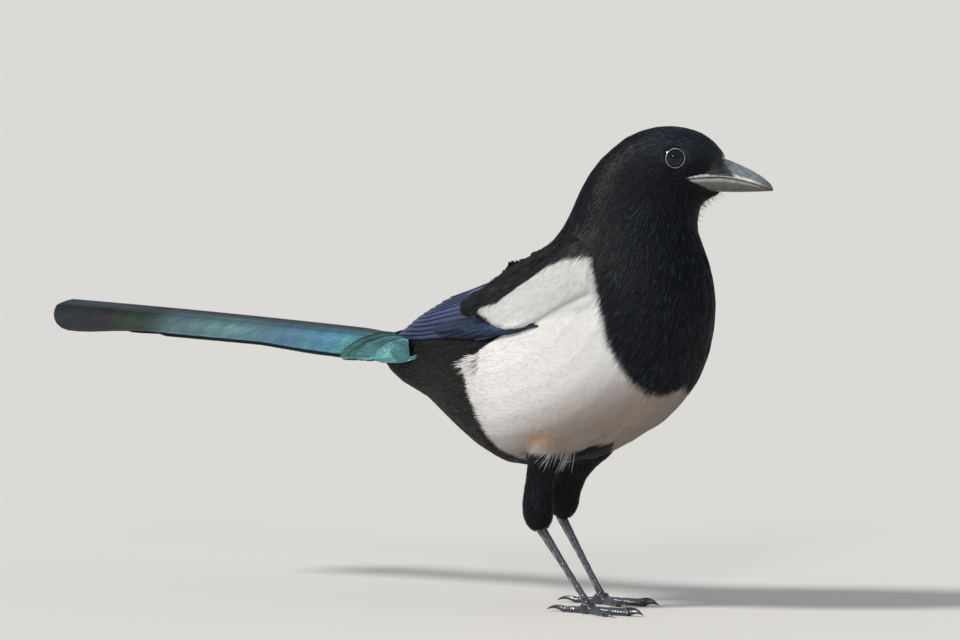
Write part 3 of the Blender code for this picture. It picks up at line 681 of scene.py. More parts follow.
# What the coat grows on: the skin's points, normals, lie and neighbours
def readSkin():
    mesh = skin.data
    mesh.calc_loop_triangles()
    tris = np.empty(len(mesh.loop_triangles) * 3, np.int32)
    mesh.loop_triangles.foreach_get("vertices", tris)
    tris = tris.reshape(-1, 3)
    places = inBird(readPoints(mesh))
    normals = meshNormals(mesh)
    lie = coatLie(places, normals)
    ends = meshEnds(mesh)
    for _ in range(6):
        count = np.bincount(ends.ravel(), minlength=len(places)).astype(float)
        lie = lie + neighbourMean(lie, ends, count)
        lie = unit(lie - normals * (lie * normals).sum(1, keepdims=True))
    tree = KDTree(len(places))
    for i, place in enumerate(places):
        tree.insert(place, i)
    tree.balance()
    around = np.array([[found[1] for found in tree.find_n(place, coat["near"])] for place in places])
    for _ in range(4):
        normals = unit(normals + neighbourMean(normals, ends, count))
    surface = {"tris": tris, "places": places, "normals": normals, "lie": lie, "around": around}
    walk, *_ = walkCoat(surface, places, np.arange(len(places)), 0.0, coat["reach"])
    corners = places[tris]
    area = np.linalg.norm(np.cross(corners[:, 1] - corners[:, 0], corners[:, 2] - corners[:, 0]), axis=1) / 2
    surface.update(area=area, middle=corners.mean(1), tip=walk[-1][tris[:, 0]])
    return surface


# Where a place is on the unwrapped skin: along the spine, and round it
def unwrapPlace(places):
    gap, share = alongLine(places, spine)
    nearest = gap.argmin(1)
    rows = np.arange(len(places))
    along = (nearest + share[rows, nearest]) / (len(spine) - 1)
    steps = np.diff(spine, axis=0)
    axis = unit(steps)[nearest]
    middle = spine[nearest] + steps[nearest] * share[rows, nearest][:, None]
    out = places - middle
    side = np.cross(axis, np.array([0, 0, 1.0]))
    up = np.cross(side, axis)
    around = np.arctan2((out * side).sum(1), (out * up).sum(1)) / (2 * math.pi) + 0.5
    return np.stack([0.02 + 0.96 * along, 0.02 + 0.96 * around], 1)


coat = {
    "hop": 1.0,                    # step of the walk along the lie, in mm
    "reach": 5,                    # steps from a root to where its tip shows
    "near": 13,                    # neighbours looked at for the next step
    "shares": (0.0, 0.35, 0.7, 1.0),
    "half": (0.30, 0.5, 0.38, 0.0),
    "patch": 0.003,
    "rise": (-0.25, 0.6, 0.95, 1.0),
    "stray": 2.1,                  # a blade farther than this off the skin is dropped, in mm
    "counts": {"head": 39500, "breastRight": 39500, "breastLeft": 34000, "back": 33000, "rump": 26000,
               "thigh": 15000, "flankRight": 39500, "flankLeft": 39500},
}


# Length, width and depth of the coat in mm, by region
def tuftLength(places):
    straight = straightHead(places)
    x, y, z = places.T
    head = smoothStep(186, 206, z)
    face = smoothStep(28, 52, straight[:, 0]) * smoothStep(192, 200, z)
    length = 8.5 + (4.8 - 8.5) * head
    length += (2.4 - length) * face
    depth = 1.25 + (0.85 - 1.25) * head
    depth += (0.5 - depth) * face
    width = 0.27 + (0.22 - 0.27) * head + (0.18 - 0.22) * face
    leg = onThigh(places)
    length = length * (1 - leg) + leg * (3.0 + 3.0 * smoothStep(42, 66, z))
    depth = depth * (1 - leg) + leg * 0.8
    width = width * (1 - leg) + leg * 0.22
    eyes = np.minimum(*[np.linalg.norm(places - centre, axis=1) for centre in eyePlaces.values()])
    length = length * (1 - 0.62 * smoothStep(13, 6.5, eyes))
    return length, width, depth


# Roots spread evenly over the chosen triangles: places and nearest points
def scatterRoots(surface, chosen, count, rng):
    index = np.nonzero(chosen)[0]
    total = np.cumsum(surface["area"][index])
    marks = (np.arange(count) + rng.random(count)) / count * total[-1]
    tri = index[np.searchsorted(total, marks)]
    a, b = rng.random(count), rng.random(count)
    flip = a + b > 1
    a[flip], b[flip] = 1 - a[flip], 1 - b[flip]
    weights = np.stack([1 - a - b, a, b], 1)
    corners = surface["tris"][tri]
    places = (surface["places"][corners] * weights[..., None]).sum(1)
    near = corners[np.arange(count), weights.argmax(1)]
    return places, near


# Steps from each root along the lie, kept close to the skin; also how far each strays from it
def walkCoat(surface, roots, near, yaw, hops):
    walk, normals, lies = [roots], [surface["normals"][near]], []
    at = near
    stray = np.zeros(len(roots))
    for _ in range(hops):
        lie = surface["lie"][at]
        across = np.cross(surface["normals"][at], lie)
        lie = lie * np.cos(yaw) + across * np.sin(yaw)
        lies.append(lie)
        step = walk[-1] + lie * coat["hop"]
        choices = surface["around"][at]
        gaps = ((surface["places"][choices] - step[:, None]) ** 2).sum(2)
        at = choices[np.arange(len(at)), gaps.argmin(1)]
        normal = surface["normals"][at]
        lift = ((step - surface["places"][at]) * normal).sum(1, keepdims=True)
        step = step - normal * np.clip(lift, -0.5 * coat["hop"], 0.5 * coat["hop"])
        stray = np.maximum(stray, np.linalg.norm(step - surface["places"][at], axis=1))
        walk.append(step)
        normals.append(normal)
    lies.append(lies[-1])
    return np.array(walk), np.array(normals), np.array(lies), stray


# Many thin curved blades as one mesh: rings of two points and a tip each
def bladesMesh(name, rings, colours, shading, roots):
    count = len(roots)
    verts = np.stack(rings, 1).reshape(-1, 3)
    pattern = np.array([1, 0, 2, 3, 3, 2, 4, 5, 5, 4, 6])
    corners = (np.arange(count)[:, None] * 7 + pattern).ravel()
    mesh = meshFromArrays(name, fromBird(verts), corners, np.tile([4, 4, 3], count))
    paintTint(mesh, np.clip(np.stack(colours, 1).reshape(-1, 3), 0, 1))
    patch = np.array([(-1, -1), (1, -1), (-1, -0.3), (1, -0.3), (-1, 0.4), (1, 0.4), (0, 1)]) * coat["patch"] / 2
    unwrapped = (unwrapPlace(roots)[:, None, :] + patch[None]).reshape(-1, 2)
    bake = mesh.uv_layers.new(name="OFBake")
    bake.data.foreach_set("uv", unwrapped[corners].astype(np.float32).ravel())
    mesh.normals_split_custom_set_from_vertices(np.stack(shading, 1).reshape(-1, 3).astype(np.float32))
    return mesh


def growTufts(name, surface, chosen, count, finish, shape, colour):
    rng = np.random.default_rng(bird["seed"] + len(name) * 7 + count)
    roots, near = scatterRoots(surface, chosen, count, rng)
    length, width, depth = tuftLength(roots)
    length *= shape["length"] * rng.uniform(0.7, 1.25, count)
    width *= shape["width"] * rng.uniform(0.6, 1.4, count)
    depth *= shape["depth"] * rng.uniform(0.95 - shape["vary"], 0.95 + shape["vary"], count)
    yaw = rng.normal(0, shape["yaw"], count)[:, None]
    roll = rng.normal(0, shape["roll"], count)[:, None]
    tilt = rng.normal(0, shape["tilt"], count)[:, None]
    hops = int(math.ceil(length.max() / coat["hop"])) + 1
    walk, normals, lies, stray = walkCoat(surface, roots, near, yaw, hops)
    kept = stray < coat["stray"]
    walk, normals, lies = walk[:, kept], normals[:, kept], lies[:, kept]
    roots, length, width, depth, roll, tilt = (values[kept] for values in (roots, length, width, depth, roll, tilt))
    rows = np.arange(len(roots))
    shows = np.clip((0.8 * length / coat["hop"]).astype(int), 0, hops)
    base = colour(walk[shows, rows], rng)
    rings, colours, shading = [], [], []
    for k, share in enumerate(coat["shares"]):
        place = share * length / coat["hop"]
        low = np.minimum(place.astype(int), hops - 1)
        part = (place - low)[:, None]
        at = walk[low, rows] * (1 - part) + walk[low + 1, rows] * part
        normal = unit(normals[low, rows] * (1 - part) + normals[low + 1, rows] * part)
        lie = lies[low, rows]
        at = at + normal * (coat["rise"][k] * depth + shape["stand"] * share**2 * length)[:, None]
        flat = np.cross(normal, lie)
        across = flat * np.cos(roll) + normal * np.sin(roll)
        # painted shade towards each blade's root and painted light at its tip
        shade = (shape["root"], 0.9, 1.0, shape["tip"])[k]
        facing = unit(normal - flat * np.sin(roll) * shape["gloss"] + lie * tilt)
        half = (width * coat["half"][k])[:, None]
        sides = (-1, 1) if k < 3 else (0,)
        for side in sides:
            rings.append(at + across * half * side)
            colours.append(base * shade)
            shading.append(facing)
    piece = newObject(name, bladesMesh(name, rings, colours, shading, roots), finish)
    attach(piece, "root")
    print(name, len(roots), "blades,", round(len(roots) / surface["area"][chosen].sum(), 1), "to the square mm")
    return piece


# Black, with painted blue or bronze glints on a few blades, more of them on the crown and throat
def darkColour(places, rng):
    count = len(places)
    tone = plumage(places) * rng.uniform(0.5, 1.4, (count, 1))
    pick = rng.random((count, 1))
    shine = rng.random((count, 1)) ** 2
    headSheen = 1 + 1.6 * smoothStep(214, 230, places[:, 2:3]) + 1.2 * smoothStep(205, 195, places[:, 2:3]) * smoothStep(20, 34, places[:, :1])
    blue = np.array([0.020, 0.029, 0.044]) * (pick > 0.80) * shine * headSheen
    bronze = np.array([0.020, 0.022, 0.016]) * (pick < 0.08) * shine
    return tone + (blue + bronze) * (1 - whiteShare(places))[:, None]


def paleColour(places, rng):
    return plumage(places) * rng.uniform(0.97, 1.02, (len(places), 1))


# Where beak, eyes, tail or flight feathers lie bare of coat
def bareOfCoat(places):
    straight = straightHead(places)
    x, y, z = straight.T
    head = places[:, 2] > 190
    brow = x > np.interp(z, (211.5, 213.5, 222.0), (45.5, 57.0, 61.2))
    chin = x > np.interp(z, (200, 203.6, 205.0, 208.0, 211.5), (66, 62, 55.5, 50.5, 45.5))
    bare = head & brow & chin
    for centre in eyePlaces.values():
        bare |= (np.linalg.norm(places - centre, axis=1) < eyeRadius + 0.3) & head
    bare |= (eyeGap(places) < 5.2) & head
    bare |= places[:, 0] < -118
    angle = wingAngle(places)
    lowEdge = np.interp(places[:, 0], (-112, -99, -87, -64, -46), (38, 54, 66, 78, 80))
    bare |= (armDepth(places) < -3) & (places[:, 0] < -55) & (places[:, 0] > -112) & (angle > 6) & (angle < lowEdge)
    return bare


def growCoat():
    surface = readSkin()
    middle = surface["middle"]
    x, y, z = middle.T
    free = ~bareOfCoat(middle) & (eyeGap(middle * 0.4 + surface["tip"] * 0.6) > 5.2)
    pale = whiteShare(surface["tip"]) > 0.5
    thigh = onThigh(middle) > 0.5
    head = (z > 192) & ~pale & ~thigh
    rump = (x < -62) & ~pale & ~thigh & ~head
    back = ~pale & ~thigh & ~rump & ~head & ((x < 12) | ((wingAngle(middle) < 60) & (z < 192) & (x < 20)))
    front = ~pale & ~thigh & ~rump & ~head & ~back
    blackCoat, *_ = tintedFinish("blackCoat", 0.46, 700, 0.25, Specular_IOR_Level=0.15)
    whiteCoat, *_ = tintedFinish("whiteCoat", 0.62, 500, 0.04, Specular_IOR_Level=0.25)
    # root and tip: painted shade at each blade's root and painted light at its tip
    plain = {"length": 1.0, "width": 1.0, "depth": 1.0, "yaw": 0.10, "roll": 0.35, "tilt": 0.10, "stand": 0.0,
             "gloss": 0.55, "root": 0.5, "tip": 1.1, "vary": 0.35}
    smooth = dict(plain, roll=0.08, root=0.96, tip=1.0, gloss=0.1, tilt=0.010, yaw=0.05, vary=0.08, depth=0.9)
    broad = dict(plain, width=1.25, gloss=0.4, vary=0.12, roll=0.25, tilt=0.05)
    close = dict(plain, roll=0.22, gloss=0.35, vary=0.22)
    counts = coat["counts"]
    pieces = (
        ("headCoat", head, counts["head"], blackCoat, "black_plumage", close, darkColour),
        ("breastCoatRight", front & (y < 2), counts["breastRight"], blackCoat, "black_plumage", plain, darkColour),
        ("breastCoatLeft", front & (y >= 2), counts["breastLeft"], blackCoat, "black_plumage", plain, darkColour),
        ("backCoat", back, counts["back"], blackCoat, "black_plumage", broad, darkColour),
        ("rumpCoat", rump, counts["rump"], blackCoat, "black_plumage", close, darkColour),
        ("thighCoat", thigh, counts["thigh"], blackCoat, "black_plumage", plain, darkColour),
        ("flankCoatRight", pale & ~thigh & (y < 0), counts["flankRight"], whiteCoat, "white_plumage", smooth, paleColour),
        ("flankCoatLeft", pale & ~thigh & (y >= 0), counts["flankLeft"], whiteCoat, "white_plumage", smooth, paleColour),
    )
    for name, chosen, count, finish, slot, shape, colour in pieces:
        growTufts(name, surface, chosen & free, count, finish, shape, colour)


growCoat()


# Large feathers: thin closed sheets, ribbed along the shaft.
# Each feather is a dict with points, reach, normal, along and tint
def feathersMesh(name, feathers, thickness):
    verts, corners, counts, tints, barbs, bakes = [], [], [], [], [], []
    base = 0
    cell = 1 / max(len(feathers), 1)
    for index, feather in enumerate(feathers):
        points, reach, normal, along = (feather[key] for key in ("points", "reach", "normal", "along"))
        rows, columns = reach.shape
        middle = rows // 2
        facing = np.cross(points[middle, 1] - points[middle, 0], points[middle + 1, 0] - points[middle, 0]) @ normal[middle]
        turn = -1 if facing < 0 else 1
        points, reach, tint = points[:, ::turn], reach[:, ::turn], feather["tint"][:, ::turn]
        edge = 1 - 0.75 * np.abs(np.linspace(-1, 1, columns)) ** 3
        sink = normal[:, None] * (thickness * edge)[None, :, None]
        verts += [points.reshape(-1, 3), (points - sink).reshape(-1, 3)]
        tints += [tint.reshape(-1, 3)] * 2
        grid = np.arange(rows * columns).reshape(rows, columns) + base
        a, b, c, d = grid[:-1, :-1], grid[:-1, 1:], grid[1:, 1:], grid[1:, :-1]
        under = rows * columns
        corners += [np.stack([a, b, c, d], -1).ravel(), np.stack([d, c, b, a], -1).ravel() + under]
        rim = np.concatenate([grid[0, ::-1], grid[:, 0], grid[-1], grid[::-1, -1]])
        rim = rim[np.insert(np.diff(rim) != 0, 0, True)]
        rim = rim[:-1] if rim[0] == rim[-1] else rim
        after = np.roll(rim, -1)
        corners.append(np.stack([rim, after, after + under, rim + under], -1).ravel())
        counts += [4] * (2 * a.size + len(rim))
        phase = along[:, None] - np.abs(reach) * 1.3
        barbs += [np.stack([phase, reach + 40 * index], -1).reshape(-1, 2)] * 2
        u = cell * (index + 0.5 + 0.46 * np.linspace(-1, 1, columns))
        v = 0.02 + 0.47 * np.linspace(0, 1, rows)
        sheet = np.stack(np.broadcast_arrays(u[None, :], v[:, None]), -1).reshape(-1, 2)
        bakes += [sheet, sheet + np.array([0, 0.49])]
        base += 2 * under
    corners = np.concatenate(corners)
    mesh = meshFromArrays(name, fromBird(np.concatenate(verts)), corners, counts)
    paintTint(mesh, np.clip(np.concatenate(tints), 0, 1))
    for layer, places in (("barbs", barbs), ("OFBake", bakes)):
        made = mesh.uv_layers.new(name=layer)
        made.data.foreach_set("uv", np.concatenate(places)[corners].astype(np.float32).ravel())
    return mesh


# A tinted sheen, streaked along the barbs
def featherFinish(name, roughness, contrast, **sockets):
    finish, nodes, links, shader = tintedFinish(name, roughness, 260, 0.10, **sockets)
    barbs = nodes.new("ShaderNodeUVMap")
    barbs.uv_map = "barbs"
    stretch = nodes.new("ShaderNodeMapping")
    stretch.inputs["Scale"].default_value = (1.5, 0.13, 1)
    fibres = nodes.new("ShaderNodeTexNoise")
    fibres.inputs["Scale"].default_value = 1.0
    fibres.inputs["Detail"].default_value = 5
    fibres.inputs["Roughness"].default_value = 0.65
    spread = nodes.new("ShaderNodeMapRange")
    for socket, value in (("From Min", 0.3), ("From Max", 0.7), ("To Min", 1 - contrast), ("To Max", 1 + contrast)):
        spread.inputs[socket].default_value = value
    streaked = nodes.new("ShaderNodeVectorMath")
    streaked.operation = "SCALE"
    links.new(shader.inputs["Base Color"].links[0].from_socket, streaked.inputs[0])
    links.new(spread.outputs["Result"], streaked.inputs["Scale"])
    links.new(streaked.outputs["Vector"], shader.inputs["Base Color"])
    bump = nodes.new("ShaderNodeBump")
    bump.inputs["Strength"].default_value = 0.6
    bump.inputs["Distance"].default_value = 0.0005
    links.new(barbs.outputs["UV"], stretch.inputs["Vector"])
    links.new(stretch.outputs["Vector"], fibres.inputs["Vector"])
    links.new(fibres.outputs["Fac"], spread.inputs["Value"])
    links.new(fibres.outputs["Fac"], bump.inputs["Height"])
    links.new(bump.outputs["Normal"], shader.inputs["Normal"])
    return finish


# Colour at each value, from a list of (value, colour).
def blendColours(value, stops):
    places = [stop[0] for stop in stops]
    return np.stack([np.interp(value, places, [stop[1][c] for stop in stops]) for c in range(3)], -1)


tail = {
    "rootX": -113.5,
    "lengths": (204.8, 166.0, 146.0, 114.5, 94.0, 81.0),    # central pair first
    "ridge": (129.6, 0.0505, -0.000067),                    # height, rise and sag of the ridge line
    "sink": 1.6,
    "sinkLength": 12.0,
    "innerWeb": 10.0,
    "outerWeb": ((0, 13.4), (50, 12.7), (80, 11.0), (110, 11.3), (145, 11.5), (163, 12.3), (187, 15.0)),
    "narrower": (0, -0.05, -0.25, 1.15, 1.6, 1.7),            # the outer web of each pair against the central one
    "innerSlope": 14.0,
    "outerSlope": 44.0,
    "layerGap": 0.75,
    "rows": 90,
    "tipRows": 16,
    "columns": 25,
    "tipLength": (3.0, 16.5),                               # how far the tip rounds, inner and outer web
    "web": ((0, (0.060, 0.160, 0.170)), (32, (0.066, 0.210, 0.270)), (56, (0.062, 0.155, 0.222)), (73, (0.066, 0.140, 0.185)),
            (97, (0.098, 0.185, 0.205)), (115, (0.082, 0.150, 0.172)), (133, (0.070, 0.116, 0.138)),
            (143, (0.030, 0.056, 0.048)), (150, (0.020, 0.038, 0.032)), (160, (0.023, 0.036, 0.025)),
            (168, (0.021, 0.022, 0.022)), (176, (0.019, 0.017, 0.023)), (186, (0.015, 0.021, 0.025)), (205, (0.013, 0.018, 0.022))),
    "ridgeWeb": ((0, (0.040, 0.070, 0.080)), (56, (0.045, 0.080, 0.095)), (97, (0.048, 0.075, 0.085)), (133, (0.046, 0.060, 0.082)),
                 (155, (0.046, 0.050, 0.085)), (170, (0.050, 0.075, 0.105)), (192, (0.052, 0.090, 0.115)), (205, (0.024, 0.034, 0.042))),
    "ridgeEdge": -5.2,           # where the ridge's colour ends, from the shaft
}


# The roof of the tail in section: how far out and down it runs from the ridge
def roofSection(soften):
    steps = np.linspace(0, 40, 401)
    slope = tail["innerSlope"] + (tail["outerSlope"] - tail["innerSlope"]) * smoothStep(-soften, soften, steps - tail["innerWeb"])
    slope = np.radians(slope)
    return steps, np.cumsum(np.cos(slope)) * 0.1, np.cumsum(np.sin(slope)) * 0.1, slope


# A place on the roof of the tail and its normal: across is measured down the slope from the ridge
def tailPlace(distance, across, layer, side):
    steps, outs, drops, slopes = roofSection(3.5)
    y, drop, slope = (np.interp(across, steps, values) for values in (outs, drops, slopes))
    past = np.minimum(across, 0)                # a web that laps over the ridge
    y, drop = y + past * math.cos(slopes[0]), drop + past * math.sin(slopes[0])
    height, rise, sag = tail["ridge"]
    out = np.clip(distance / tail["sinkLength"], 0, 1)
    line = height + rise * distance + sag * distance**2 - tail["sink"] * (1 - out * out * (3 - 2 * out))
    normal = np.stack([np.zeros_like(slope), side * np.sin(slope), np.cos(slope)], -1)
    spread = np.minimum(0.5 + 0.5 * distance / tail["sinkLength"], 1)
    place = np.stack([tail["rootX"] - distance, side * y, line - drop], -1)
    return place - np.array([0, side * math.sin(0.5), math.cos(0.5)]) * (layer * tail["layerGap"] * spread)[..., None], normal


# Blotches of blue and green over a sheen, and a shade that grows by chance
def shimmer(tint, places, seed):
    flat = places.reshape(-1, 3)
    tone, hue = mottle(flat, 9, seed), mottle(flat, 14, seed + 1)
    change = np.stack([1 + 0.18 * tone, 1 + 0.16 * tone - 0.05 * hue, 1 + 0.14 * tone + 0.07 * hue], 1)
    return tint * change.reshape(tint.shape)


def tailFeather(pair, side, rng):
    length = tail["lengths"][pair]
    columns = tail["columns"]
    share = np.linspace(-1, 1, columns)
    bend = np.concatenate([np.zeros(tail["rows"]), np.linspace(0, math.pi / 2, tail["tipRows"] + 1)[1:]])[:, None]
    straight = np.concatenate([np.linspace(0, 1, tail["rows"]), np.ones(tail["tipRows"])])[:, None]
    tipLength = (np.interp(share, (-1, 1), tail["tipLength"]) * (1 - 0.06 * pair))[None]
    distance = (length - tipLength) * straight + tipLength * np.sin(bend)
    along = distance.mean(1)
    narrow = np.maximum(np.cos(bend), 0.03)
    width = np.interp(along, *np.array(tail["outerWeb"]).T)[:, None] - tail["narrower"][pair]
    outer = width * narrow * np.minimum(0.75 + 0.25 * along[:, None] / 12, 1)
    inner = (tail["innerWeb"] + 0.9) * narrow * np.minimum(0.6 + 0.4 * along[:, None] / 25, 1)
    reach = np.where(share < 0, inner * share, outer * share)
    reach = reach * (1 + 0.004 * rng.normal(size=(len(along), 1)) * (np.abs(share) > 0.9))
    place, normal = tailPlace(distance, tail["innerWeb"] + reach, np.full_like(reach, pair + (0.3 if side < 0 else 0.75)), side)
    bow = -0.45 * (reach / 12) ** 2 + 0.28 * np.exp(-(reach / 0.5) ** 2)
    place = place + normal * bow[..., None]
    web = blendColours(distance, tail["web"]) * (1 - 0.30 * smoothStep(3, 13, reach))[..., None]
    top = blendColours(distance, tail["ridgeWeb"])
    soft = 0.7 + 4 * smoothStep(120, 185, distance)
    onTop = smoothStep(1, -1, (reach - tail["ridgeEdge"]) / soft)[..., None]
    seam = np.exp(-((reach - tail["ridgeEdge"] - 0.4) / 0.5) ** 2) * (1 - smoothStep(120, 170, distance))
    tint = shimmer(web * (1 - onTop) + top * onTop, place, 30 + pair)
    # dark feather edges; on the lower pairs wider and darker, painted shade under the pairs above
    rim = 0.10 if pair == 0 else 0.22
    edge = smoothStep(1 - rim, 1.0, np.abs(share))[None, :, None]
    tint = tint * (1 - (0.55 if pair == 0 else 0.8) * edge) * (1 - 0.5 * seam[..., None])
    return {"points": place, "reach": reach, "normal": normal[:, columns // 2], "along": along, "tint": tint}


ruffled = {
    # short ruffled feathers beside the tail's root: root and tip as place along the bird and height, arch, half width
    # and lift in mm, brightness of the web and of its rim, which are painted light and shade
    "vanes": ((-104, 123.8, -139.5, 117.8, 3.2, 5.4, 0.9, 0.70, 0.35), (-103, 122.8, -134.5, 117.2, 3.0, 4.6, 1.5, 0.62, 0.20),
              (-102, 122.4, -129.5, 117.2, 2.7, 4.9, 2.1, 0.90, 2.0), (-101, 122.2, -118.5, 117.6, 1.2, 5.3, 2.6, 0.95, 0.6),
              (-100, 122.0, -110.0, 119.6, 0.3, 5.5, 3.1, 1.15, 1.2), (-118, 116.4, -91.5, 120.4, -2.4, 0.9, 2.9, 1.6, 1.7)),
    "web": (0.056, 0.155, 0.160),
    "wave": 0.22,
}


# How far out from the middle the side of the rump and then of the tail lies
def rumpSide(x, z):
    onTail = smoothStep(-104, -124, x)
    return (1 - onTail) * 16.2 + onTail * (9.7 + 1.04 * np.clip(127.8 - z, -1, 11))


def ruffledVane(side, values, rng):
    x0, z0, x1, z1, arch, half, lift, light, rimLight = values
    rows, columns = 34, 13
    share = np.linspace(0, 1, rows)
    line = np.stack([x0 + (x1 - x0) * share, z0 + (z1 - z0) * share + arch * 4 * share * (1 - share)], 1)
    ahead = unit(np.gradient(line, axis=0))
    offsets = np.linspace(-1, 1, columns)
    tip = np.clip((share - 0.65) / 0.35, 0, 1)
    full = half * np.sqrt(np.clip(1 - tip**2.2, 0.003, 1)) * (0.85 + 0.15 * smoothStep(0, 0.3, share))
    reach = full[:, None] * offsets[None]
    x = line[:, :1] + ahead[:, 1:] * reach
    z = line[:, 1:] - ahead[:, :1] * reach
    wave = ruffled["wave"] * np.sin(x * 0.5 + z * 0.9 + rng.uniform(0, 6)) * np.abs(offsets) + lift
    points = np.stack([x, side * (rumpSide(x, z) + 0.85 * wave), z + 0.45 * wave], -1)
    tint = np.array(ruffled["web"]) * light + np.zeros((rows, columns, 1))
    tint = shimmer(tint, points, 50 + int(abs(x1)))
    edge = smoothStep(0.72, 1.0, np.abs(offsets))[None, :, None]
    # painted light and shade: bright rims for lit curls, dark rims for shaded slits
    tint = tint * (1 - edge) + np.array(ruffled["web"]) * light * rimLight * edge
    normal = np.tile(np.array([0, side * 0.8, 0.6]), (rows, 1))
    return {"points": points, "reach": reach, "normal": normal, "along": share * abs(x1 - x0), "tint": tint}


tailFinish = featherFinish("tailSheen", 0.40, 0.42, Metallic=0.60, Specular_IOR_Level=0.25)


def makeTail():
    rng = np.random.default_rng(bird["seed"] + 1)
    feathers = [tailFeather(pair, side, rng) for pair in range(6) for side in (-1, 1)]
    piece = newObject("tailFeathers", feathersMesh("tailFeathers", feathers, 0.22), tailFinish)
    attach(piece, "root")
    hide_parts("tail")
    feathers = [ruffledVane(side, values, rng) for side in (-1, 1) for values in ruffled["vanes"]]
    piece = newObject("tailCoverts", feathersMesh("tailCoverts", feathers, 0.14), tailFinish)
    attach(piece, "root")


makeTail()
print("tail is made")


wing = {
    "count": 11,                     # flight feathers, the innermost on top
    "root": (-30, 26, 61),           # place along the bird, angle of the first, spread
    "tip": (-84, -32, 15, 26),       # place of the first tip, how much farther the last, angle, spread
    "bulge": 10.5,                   # degrees that the lowest feather bows down
    "lift": 0.9,
    "pitch": 0.42,
    "inner": 7.5,
    "outer": 2.9,
    "rows": 46,
    "columns": 15,
    "web": ((0.036, 0.052, 0.115), (0.085, 0.110, 0.235)),
    "covertWeb": ((0.006, 0.022, 0.036), (0.034, 0.052, 0.112)),
    "edge": (0.003, 0.004, 0.007),
    # covert tips: place along the bird and degrees down, and the length towards the shoulder
    "covertTips": ((-83, 67, 50), (-80, 71, 50), (-77, 75, 52), (-71, 78.5, 52), (-64, 82, 50), (-56, 85, 46), (-48, 87.5, 40)),
    "rim": ((-45, 46.5), (-62, 43.5), (0.20, 0.26, 0.36)),       # a pale edge over the shoulder's end: root, tip, colour
}


# A vane laid over the body between two (x, angle) places; lift(share) is its height in mm.
def layFeather(tree, side, root, tip, inner, outer, lift, tilt, rows, columns, fan=0.0, rootWidth=0.7, sharp=2.4, wave=0.0):
    share = np.linspace(0, 1, rows)
    tipShare = np.clip((share - 0.72) / 0.28, 0, 1)
    full = (rootWidth + (1 - rootWidth) * smoothStep(0, 0.4, share)) * np.sqrt(np.clip(1 - tipShare**sharp, 0.002, 1))
    x = root[0] + (tip[0] - root[0]) * share
    angle = root[1] + (tip[1] - root[1]) * share + fan * np.sin(math.pi * share)
    angle += wave * np.sin(share * 9 + root[1]) * share
    offsets = np.linspace(-1, 1, columns)
    points = np.zeros((rows, columns, 3))
    reach = np.zeros((rows, columns))
    normals = np.zeros((rows, 3))
    for i in range(rows):
        radius = max(bodyRadius(tree, x[i], angle[i], side), 14.0)
        for j in range(columns):
            width = (inner if offsets[j] < 0 else outer) * full[i] * offsets[j]
            place = angle[i] + math.degrees(width / radius)
            r = bodyRadius(tree, x[i], place, side)
            height = lift(share[i]) + tilt * offsets[j] - 0.25 * offsets[j] ** 2 + float(wingCrest(x[i], place))
            height -= 3.2 * float(smoothStep(-63, -47, x[i]) * smoothStep(66, 54, place))
            points[i, j] = wingAxis(x[i]) + wingOut(place, side) * (r + height)
            reach[i, j] = width
        normals[i] = wingOut(angle[i], side)
    along = share * np.linalg.norm(np.array([tip[0] - root[0], (tip[1] - root[1]) * 0.6]))
    return {"points": points, "reach": reach, "normal": normals, "along": along}


# Blend from low at the root to high at the tip, with dark edges and shaft.
def featherTint(feather, low, high, edge, edgeWidth=0.22):
    reach = feather["reach"]
    rows, columns = reach.shape
    share = np.linspace(0, 1, rows)[:, None, None]
    tint = np.array(low) * (1 - share) + np.array(high) * share + np.zeros((rows, columns, 1))
    side = np.linspace(-1, 1, columns)
    border = smoothStep(1 - edgeWidth, 1.0, np.abs(side))[None, :, None]
    shaftLine = np.exp(-(reach / 0.3) ** 2)[..., None]
    tint = tint * (1 - border) + np.array(edge) * border
    return tint * (1 - 0.5 * shaftLine)


def makeWing(sideName):
    side = -1 if sideName == "right" else 1
    rng = np.random.default_rng(bird["seed"] + 5)
    count = wing["count"]
    feathers = []
    for k in range(count):
        share = k / (count - 1)
        root = (wing["root"][0], wing["root"][1] + wing["root"][2] * share)
        tip = (wing["tip"][0] + wing["tip"][1] * share**0.9, wing["tip"][2] + wing["tip"][3] * share)
        top = wing["lift"] + wing["pitch"] * (count - 1 - k)
        feather = layFeather(bodyTree, side, root, tip, wing["inner"], wing["outer"],
                             lambda s, top=top: top * (0.55 + 0.45 * s), -0.12, wing["rows"], wing["columns"],
                             wing["bulge"] * share + rng.normal(0, 0.5), wave=rng.uniform(0.2, 0.7))
        feather["tint"] = featherTint(feather, wing["web"][0], wing["web"][1], wing["edge"], 0.42)
        feathers.append(feather)
    root, tip, colour = wing["rim"]
    feather = layFeather(wingTree, side, root, tip, 0.7, 0.4, lambda s: 1.2 - 1.2 * s, 0.0, 20, 5, -2.5)
    feather["tint"] = np.array(colour) + np.zeros(feather["reach"].shape + (1,))
    feathers.append(feather)
    flight = newObject("flightFeathers" + sideName.capitalize(), feathersMesh("flight", feathers, 0.16), wingFinish)
    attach(flight, "root")
    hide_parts("wing_" + sideName)
    feathers = []
    for k, (x, angle, length) in enumerate(wing["covertTips"]):
        height = 5.0 - 0.45 * k
        feather = layFeather(bodyTree, side, (x + length, 77 + 1.8 * k), (x, angle), 3.0, 1.9,
                             lambda s, height=height: height * (0.15 + 0.85 * smoothStep(0, 0.7, s)) - 1.0 * s * s,
                             0.2, 34, 11, 2.5 - 0.5 * k, 0.2, 1.4, 0.6)
        feather["tint"] = featherTint(feather, *wing["covertWeb"], wing["edge"], 0.40)
        feathers.append(feather)
    coverts = newObject("wingCoverts" + sideName.capitalize(), feathersMesh("coverts", feathers, 0.14), wingFinish)
    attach(coverts, "root")


